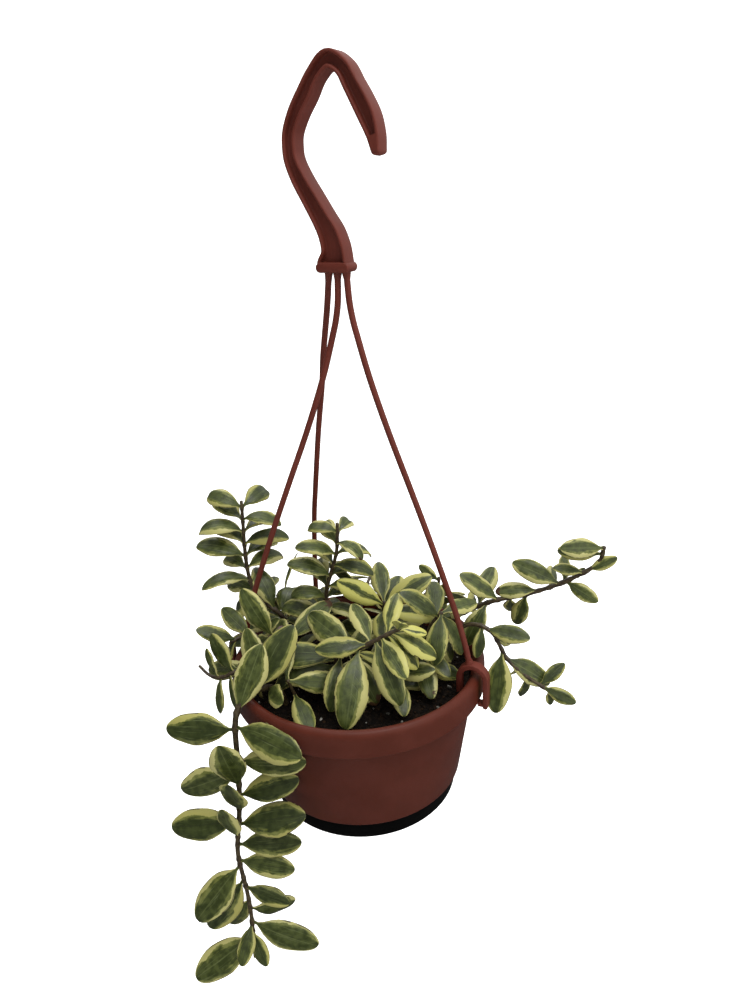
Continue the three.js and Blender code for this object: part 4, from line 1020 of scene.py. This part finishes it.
def buds_of(stem):
    """Where a stem's leaves start: placed where the stem lists them, or else in turned pairs up to its tip"""
    draw = draws(stem.seed)

    def bud(distance, turn, lean, size):
        arch = stem.arch * (0.75 + 0.5 * draw())
        hand = 1 if draw() < 0.5 else -1
        tilt = LEAF_TILT * np.array([draw() - 0.5, draw() - 0.5, draw() - 0.5])
        return SimpleNamespace(
            distance=distance, turn=turn, lean=lean, size=size, arch=arch, hand=hand, tilt=tilt
        )

    if hasattr(stem, "placed"):
        return [bud(*row) for row in stem.placed]
    buds = []
    distance = stem.first
    pair = 0
    while distance < stem.line.length - 1:
        share = distance / stem.line.length
        grown = stem.size * (1 - (1 - stem.taper) * share * share)
        for side in (0, 180):
            turn = stem.spin + stem.cross * (pair % 2) + side + (draw() - 0.5) * TURN_SCATTER
            size = grown * (0.86 + 0.22 * draw())
            buds.append(bud(distance, turn, stem.lean, size))
        pair += 1
        distance = stem.first + pair * stem.step
    return buds


def grow_leaves():
    """Grows every stem's leaves in turn, each turned or shortened until it has room"""
    rods = []
    for arm in ARMS:
        knots = arm_points(*arm)
        line = curve_points(knots, (len(knots) - 1) * np.arange(61) / 60)
        rods.append(SimpleNamespace(points=line, radius=ARM_RADIUS))
    rods += [SimpleNamespace(points=clip_points(arm[1]), radius=CLIP_WIDTH / 2 + 0.4) for arm in ARMS]
    stems = [SimpleNamespace(**(COMMON_STEM | stem), leaves=[]) for stem in STEMS]
    for stem in stems:
        stem.line = stem_line(stem.root, stem.route)
    placed = []
    for stem in stems:
        others = [other for other in stems if other is not stem]
        solids = rods + [SimpleNamespace(points=s.line.points, radius=s.radius) for s in others]
        for bud in buds_of(stem):
            foot, way = spot_on(stem.line, bud.distance)
            for swing, lift, fit in WAYS:
                turn = math.radians(bud.turn + swing * bud.hand)
                leaf = make_leaf(stem, bud, foot, way, turn, lift, bud.size * fit)
                if is_clear(leaf, solids, placed):
                    leaf.net = net_of(leaf)
                    leaf.centre = centre_of(leaf)
                    leaf.share = bud.distance / stem.line.length
                    leaf.distance = bud.distance
                    placed.append(leaf)
                    stem.leaves.append(leaf)
                    break
    return stems


# one leaf's blade: two skins that meet at its edge, waved a little along it, with a groove over the rib
LEAF_ROWS = 16
LEAF_COLUMNS = 8
LEAF_HALF_THICKNESS = 0.5
LEAF_CURL = 0.38
LEAF_WAVE = 0.035
LEAF_RIPPLE = 0.35
GROOVE_DEPTH = 0.45
GROOVE_HALF = 1.1
# the stems whose youngest leaves are mostly yellow, and how yellow they are
YELLOW_STEMS = ("stem_arching_front", "stem_middle_right", "stem_short_front")
YELLOW_YOUNG = 0.75
# the stems whose leaves have more cream than most, by how yellow they are
PALE_STEMS = {"stem_long_right": 0.2, "stem_upright_left": 0.14, "stem_upright_middle": 0.16}
STEM_SIDES = 10
STEM_SPANS = 4
# how much a stem swells at a leaf's foot, and over what length
NODE_SWELL = 1.25
NODE_REACH = 2.6
# the shares along a blade and across it at which its skins have their points
BLADE_S = (1 - np.cos(np.linspace(0, math.pi, LEAF_ROWS + 1))[:, None]) / 2
BLADE_T = np.sin(np.linspace(-1, 1, LEAF_COLUMNS + 1) * math.pi / 2)[None, :]


def leaf_skin(leaf, random, face):
    """The rows of points of one of a leaf's two skins; face is 1 for the upper and -1 for the lower"""
    s, t = BLADE_S, BLADE_T
    u = leaf.size * s + 0 * t
    wave = 1 + LEAF_WAVE * np.sin(s * random.uniform(9, 16) + random.uniform(0, 6) + np.sign(t) * 1.3)
    v = half_width(leaf, u) * t * wave
    plump = np.sqrt(np.clip(1 - t**4, 0, 1)) * np.sqrt(np.clip(1 - (2 * s - 1) ** 10, 0, 1))
    thickness = LEAF_HALF_THICKNESS * (1.15 - 0.45 * s) * plump
    groove = GROOVE_DEPTH * np.exp(-((v / GROOVE_HALF) ** 2)) * np.sin(math.pi * s)
    droop = LEAF_CURL * np.abs(v) * t**2 * np.sin(math.pi * s) ** 0.5
    ripple = LEAF_RIPPLE * t**2 * np.sin(s * random.uniform(7, 12) + random.uniform(0, 6) + np.sign(t))
    w = face * thickness - groove - droop + ripple * np.sin(math.pi * s)
    return on_leaf(leaf, u, v, w, LEAF_FOLD * (np.sqrt(v**2 + 0.6) - math.sqrt(0.6)))


def leaf_traits(stem, leaf, random):
    """A leaf's chance number, how yellow it is, and the side its broad cream edge is on, from -1 to 1"""
    young = max(0.0, (leaf.share - 0.6) / 0.4) if stem.name in YELLOW_STEMS else 0
    yellow = random.normal(PALE_STEMS.get(stem.name, 0.05), 0.07)
    yellow += YELLOW_YOUNG * young * random.uniform(0.4, 1)
    side = random.choice((-1, 1)) * random.uniform(0.4, 1)
    return Vector((random.uniform(), float(np.clip(yellow, 0, 1)), side))


def leafy_stem(stem):
    """A stem with its leaves as one mesh. The blade attribute holds the share along a leaf, the share across
    it and which skin it is, which is 0 on the stem; the traits attribute holds the leaf's own traits"""
    bm = bmesh.new()
    blade = bm.verts.layers.float_vector.new("blade")
    traits = bm.verts.layers.float_vector.new("traits")
    random = np.random.default_rng(stem.seed)
    spans = len(stem.line.points) - 1
    places = places_of(stem.line.points, STEM_SPANS)
    line = curve_points(stem.line.points, places)
    reach = np.interp(places, np.arange(spans + 1), stem.line.reach)
    radii = stem.radius * (1 + (TIP_SHARE - 1) * places / spans)
    for leaf in stem.leaves:
        near = np.exp(-((reach - leaf.distance) / NODE_REACH) ** 2)
        radii = np.maximum(radii, stem.radius * (NODE_SWELL - 0.35 * leaf.share) * near)
    tube(bm, line, radii, STEM_SIDES)
    flat = [(s, t) for s in BLADE_S[:, 0] for t in BLADE_T[0]]
    for leaf in stem.leaves:
        told = leaf_traits(stem, leaf, random)
        shape = random.bit_generator.state
        for face in (1, -1):
            random.bit_generator.state = shape
            for vert, (s, t) in zip(sheet(bm, leaf_skin(leaf, random, face)), flat):
                vert[traits] = told
                vert[blade] = Vector((s, t, face))
    return bm


# the leaves' and the stems' colours
DEEP_GREEN = colour(42, 50, 16)
LEAF_GREEN = colour(64, 72, 30)
DARK_LEAF = colour(28, 37, 13)
GREY_STREAK = colour(104, 112, 72)
OLIVE = colour(93, 98, 44)
PALE_OLIVE = colour(112, 115, 60)
BUTTER = colour(138, 134, 70)
CREAM = colour(164, 160, 104)
YOUNG_YELLOW = colour(166, 163, 84)
# painted shade: the dark line down the rib's groove on some leaves; the pale rib is the rib's own colour
RIB_GROOVE_SHADE = colour(34, 40, 18)
PALE_RIB = colour(90, 98, 56)
UNDERSIDE = colour(98, 106, 68)
WORN_TIP = colour(58, 38, 22)
DARK_BARK = colour(44, 34, 24)
PALE_BARK = colour(68, 58, 38)
# the share across a blade at which its cream edge starts, and how far in yellow leaves have it
EDGE_START = 0.82
YELLOW_REACH = 0.75


def foliage_material():
    """Waxy leaves, grey-green with a cream edge that is broad on one side and broken along the veins"""
    material, tree, shader = new_material("variegated leaf")

    def parts_of(name):
        told = add(tree, "ShaderNodeAttribute", attribute_name=name).outputs["Vector"]
        return add(tree, "ShaderNodeSeparateXYZ", {0: told}).outputs

    def noise_on(along, over, seed, detail, roughness=0.5):
        """Noise over the blade, stretched along it and across it, and another on each leaf and half"""
        point = add(tree, "ShaderNodeCombineXYZ", {
            "X": times(s, along),
            "Y": plus(times(t, over), times(half, 4.0)),
            "Z": plus(times(chance, 60.0), seed),
        }).outputs[0]
        return minus(noise_of(point, 1, detail, roughness), 0.5)

    place = add(tree, "ShaderNodeTexCoord").outputs["Object"]
    chance, yellow, side = parts_of("traits")
    s, across, skin = parts_of("blade")
    t = math_of("ABSOLUTE", across)
    half = math_of("SIGN", across)
    jagged = times(noise_on(12.0, 2.0, 0.0, 5, 0.62), 0.42)
    bend = times(noise_on(3.0, 0.6, 9.0, 1), 0.75)
    edge = plus(plus(plus(t, jagged), bend), times(times(side, half), 0.17))
    beyond = minus(edge, minus(EDGE_START, times(yellow, YELLOW_REACH)))
    cream = math_of("MAXIMUM", ramp(beyond, -0.02, 0.03), ramp(t, 0.88, 0.95, 0, 0.85))
    band = ramp(plus(beyond, noise_on(5.0, 5.0, 20.0, 3)), -0.3, -0.02, 0, 0.85)
    mottle = noise_of(place, 240, 4)
    patches = ramp(mottle, 0.35, 0.65)
    green = mixed(patches, DEEP_GREEN, LEAF_GREEN)
    green = mixed(ramp(chance, 0.1, 0.5, 0.5, 0), green, DARK_LEAF)
    green = mixed(ramp(noise_on(2.2, 15.0, 30.0, 3, 0.6), 0.08, 0.2, 0, 0.5), green, GREY_STREAK)
    butter = mixed(ramp(yellow, 0.2, 0.7), mixed(chance, BUTTER, CREAM), YOUNG_YELLOW)
    leaf = mixed(cream, mixed(band, green, mixed(patches, OLIVE, PALE_OLIVE)), butter)
    # the rib line: on some leaves painted shade in the groove, on the others the rib's own pale colour
    rib = ramp(plus(t, times(jagged, 0.2)), 0.02, 0.06, 0.5, 0)
    leaf = mixed(rib, leaf, mixed(ramp(chance, 0.5, 0.6), RIB_GROOVE_SHADE, PALE_RIB))
    leaf = mixed(ramp(skin, -0.2, 0.2, 0.5, 0), leaf, UNDERSIDE)
    worn = ramp(plus(s, times(minus(mottle, 0.5), 0.5)), 0.9, 0.94)
    leaf = mixed(times(worn, ramp(chance, 0.93, 0.94)), leaf, WORN_TIP)
    bark = mixed(ramp(noise_of(place, 500, 4), 0.35, 0.65), DARK_BARK, PALE_BARK)
    on_stem = ramp(math_of("ABSOLUTE", skin), 0.3, 0.6, 1, 0)
    tree.links.new(mixed(on_stem, leaf, bark), shader.inputs["Base Color"])
    tree.links.new(ramp(mottle, 0.3, 0.7, 0.34, 0.48), shader.inputs["Roughness"])
    shader.inputs["Specular IOR Level"].default_value = 0.28
    waves = math_of("SINE", times(minus(s, times(t, 0.2)), 28.0))
    veins = ramp(math_of("ABSOLUTE", waves), 0.0, 0.3)
    leather = noise_of(place, 1400, 3)
    add_relief(shader, plus(times(veins, 0.7), times(leather, 0.5)), 0.35, RELIEF_DEPTH)
    return material


foliage = foliage_material()
for stem in grow_leaves():
    piece = finished(object_of(leafy_stem(stem), "leafy_" + stem.name), foliage, sharp=70)
    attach(piece, "root")
    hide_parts(stem.name)

# The studio: a white sweep of card under and behind the plant, lit for the camera to an even white and kept
# out of the plastic's reflections. A large soft light hangs high over the front and weaker ones fill the
# right and the back. The room is bright overhead and dim all round, as under a lit ceiling.
FLOOR_Z = -0.56
SWEEP_FRONT = -2.5
SWEEP_BACK = 1.6
SWEEP_BEND = 0.8
SWEEP_HEIGHT = 2.6
SWEEP_HALF = 3.5
SWEEP_GLOW = 0.7
LAMP_SIZE = 0.8
ROOM_DIM = 0.14
ROOM_BRIGHT = 1.25

bm = bmesh.new()
outline = [(SWEEP_FRONT, FLOOR_Z), *arc(SWEEP_BACK, FLOOR_Z + SWEEP_BEND, SWEEP_BEND, -90, 0, 16)]
outline.append((SWEEP_BACK + SWEEP_BEND, SWEEP_HEIGHT))
sheet(bm, [[(x, y, z) for x in (SWEEP_HALF, -SWEEP_HALF)] for y, z in outline])
card = bpy.data.meshes.new("card sweep")
bm.to_mesh(card)
bm.free()
card.shade_smooth()
sweep = bpy.data.objects.new("card_sweep", card)
bpy.context.collection.objects.link(sweep)
white, tree, shader = new_material("white card")
shader.inputs["Base Color"].default_value = colour(244, 244, 243)
shader.inputs["Roughness"].default_value = 0.9
shader.inputs["Emission Color"].default_value = (1, 1, 1, 1)
for_camera = ramp(add(tree, "ShaderNodeLightPath").outputs["Is Camera Ray"], 0, 1, 0, SWEEP_GLOW)
tree.links.new(for_camera, shader.inputs["Emission Strength"])
card.materials.append(white)
sweep.visible_glossy = False


def softbox(name, place, power):
    """A square soft light at a place, turned to face the pot's rim"""
    light = bpy.data.lights.new(name, "AREA")
    light.shape = "SQUARE"
    light.size = LAMP_SIZE
    light.energy = power
    lamp = bpy.data.objects.new(name, light)
    facing = (rim_centre - place).to_track_quat("-Z", "Y").to_matrix().to_4x4()
    lamp.matrix_world = Matrix.Translation(place) @ facing
    bpy.context.collection.objects.link(lamp)


softbox("key light", Vector((0.3, -0.5, 1.1)), power=16)
softbox("fill light", Vector((1, -1, 0.2)), power=3.5)
softbox("back light", Vector((-0.4, 0.9, 0.9)), power=7)
world = bpy.context.scene.world or bpy.data.worlds.new("studio")
bpy.context.scene.world = world
world.use_nodes = True
studio = world.node_tree
toward = add(studio, "ShaderNodeTexCoord").outputs["Generated"]
skyward = add(studio, "ShaderNodeSeparateXYZ", {0: toward}).outputs
ceiling = plus(skyward["Z"], times(skyward["X"], 0.5))
background = studio.nodes["Background"]
background.inputs["Color"].default_value = (1, 1, 1, 1)
seen = add(studio, "ShaderNodeLightPath").outputs["Is Camera Ray"]
glow = math_of("MAXIMUM", ramp(ceiling, -0.2, 0.9, ROOM_DIM, ROOM_BRIGHT), seen)
studio.links.new(glow, background.inputs["Strength"])
bpy.context.scene.view_settings.view_transform = "Standard"
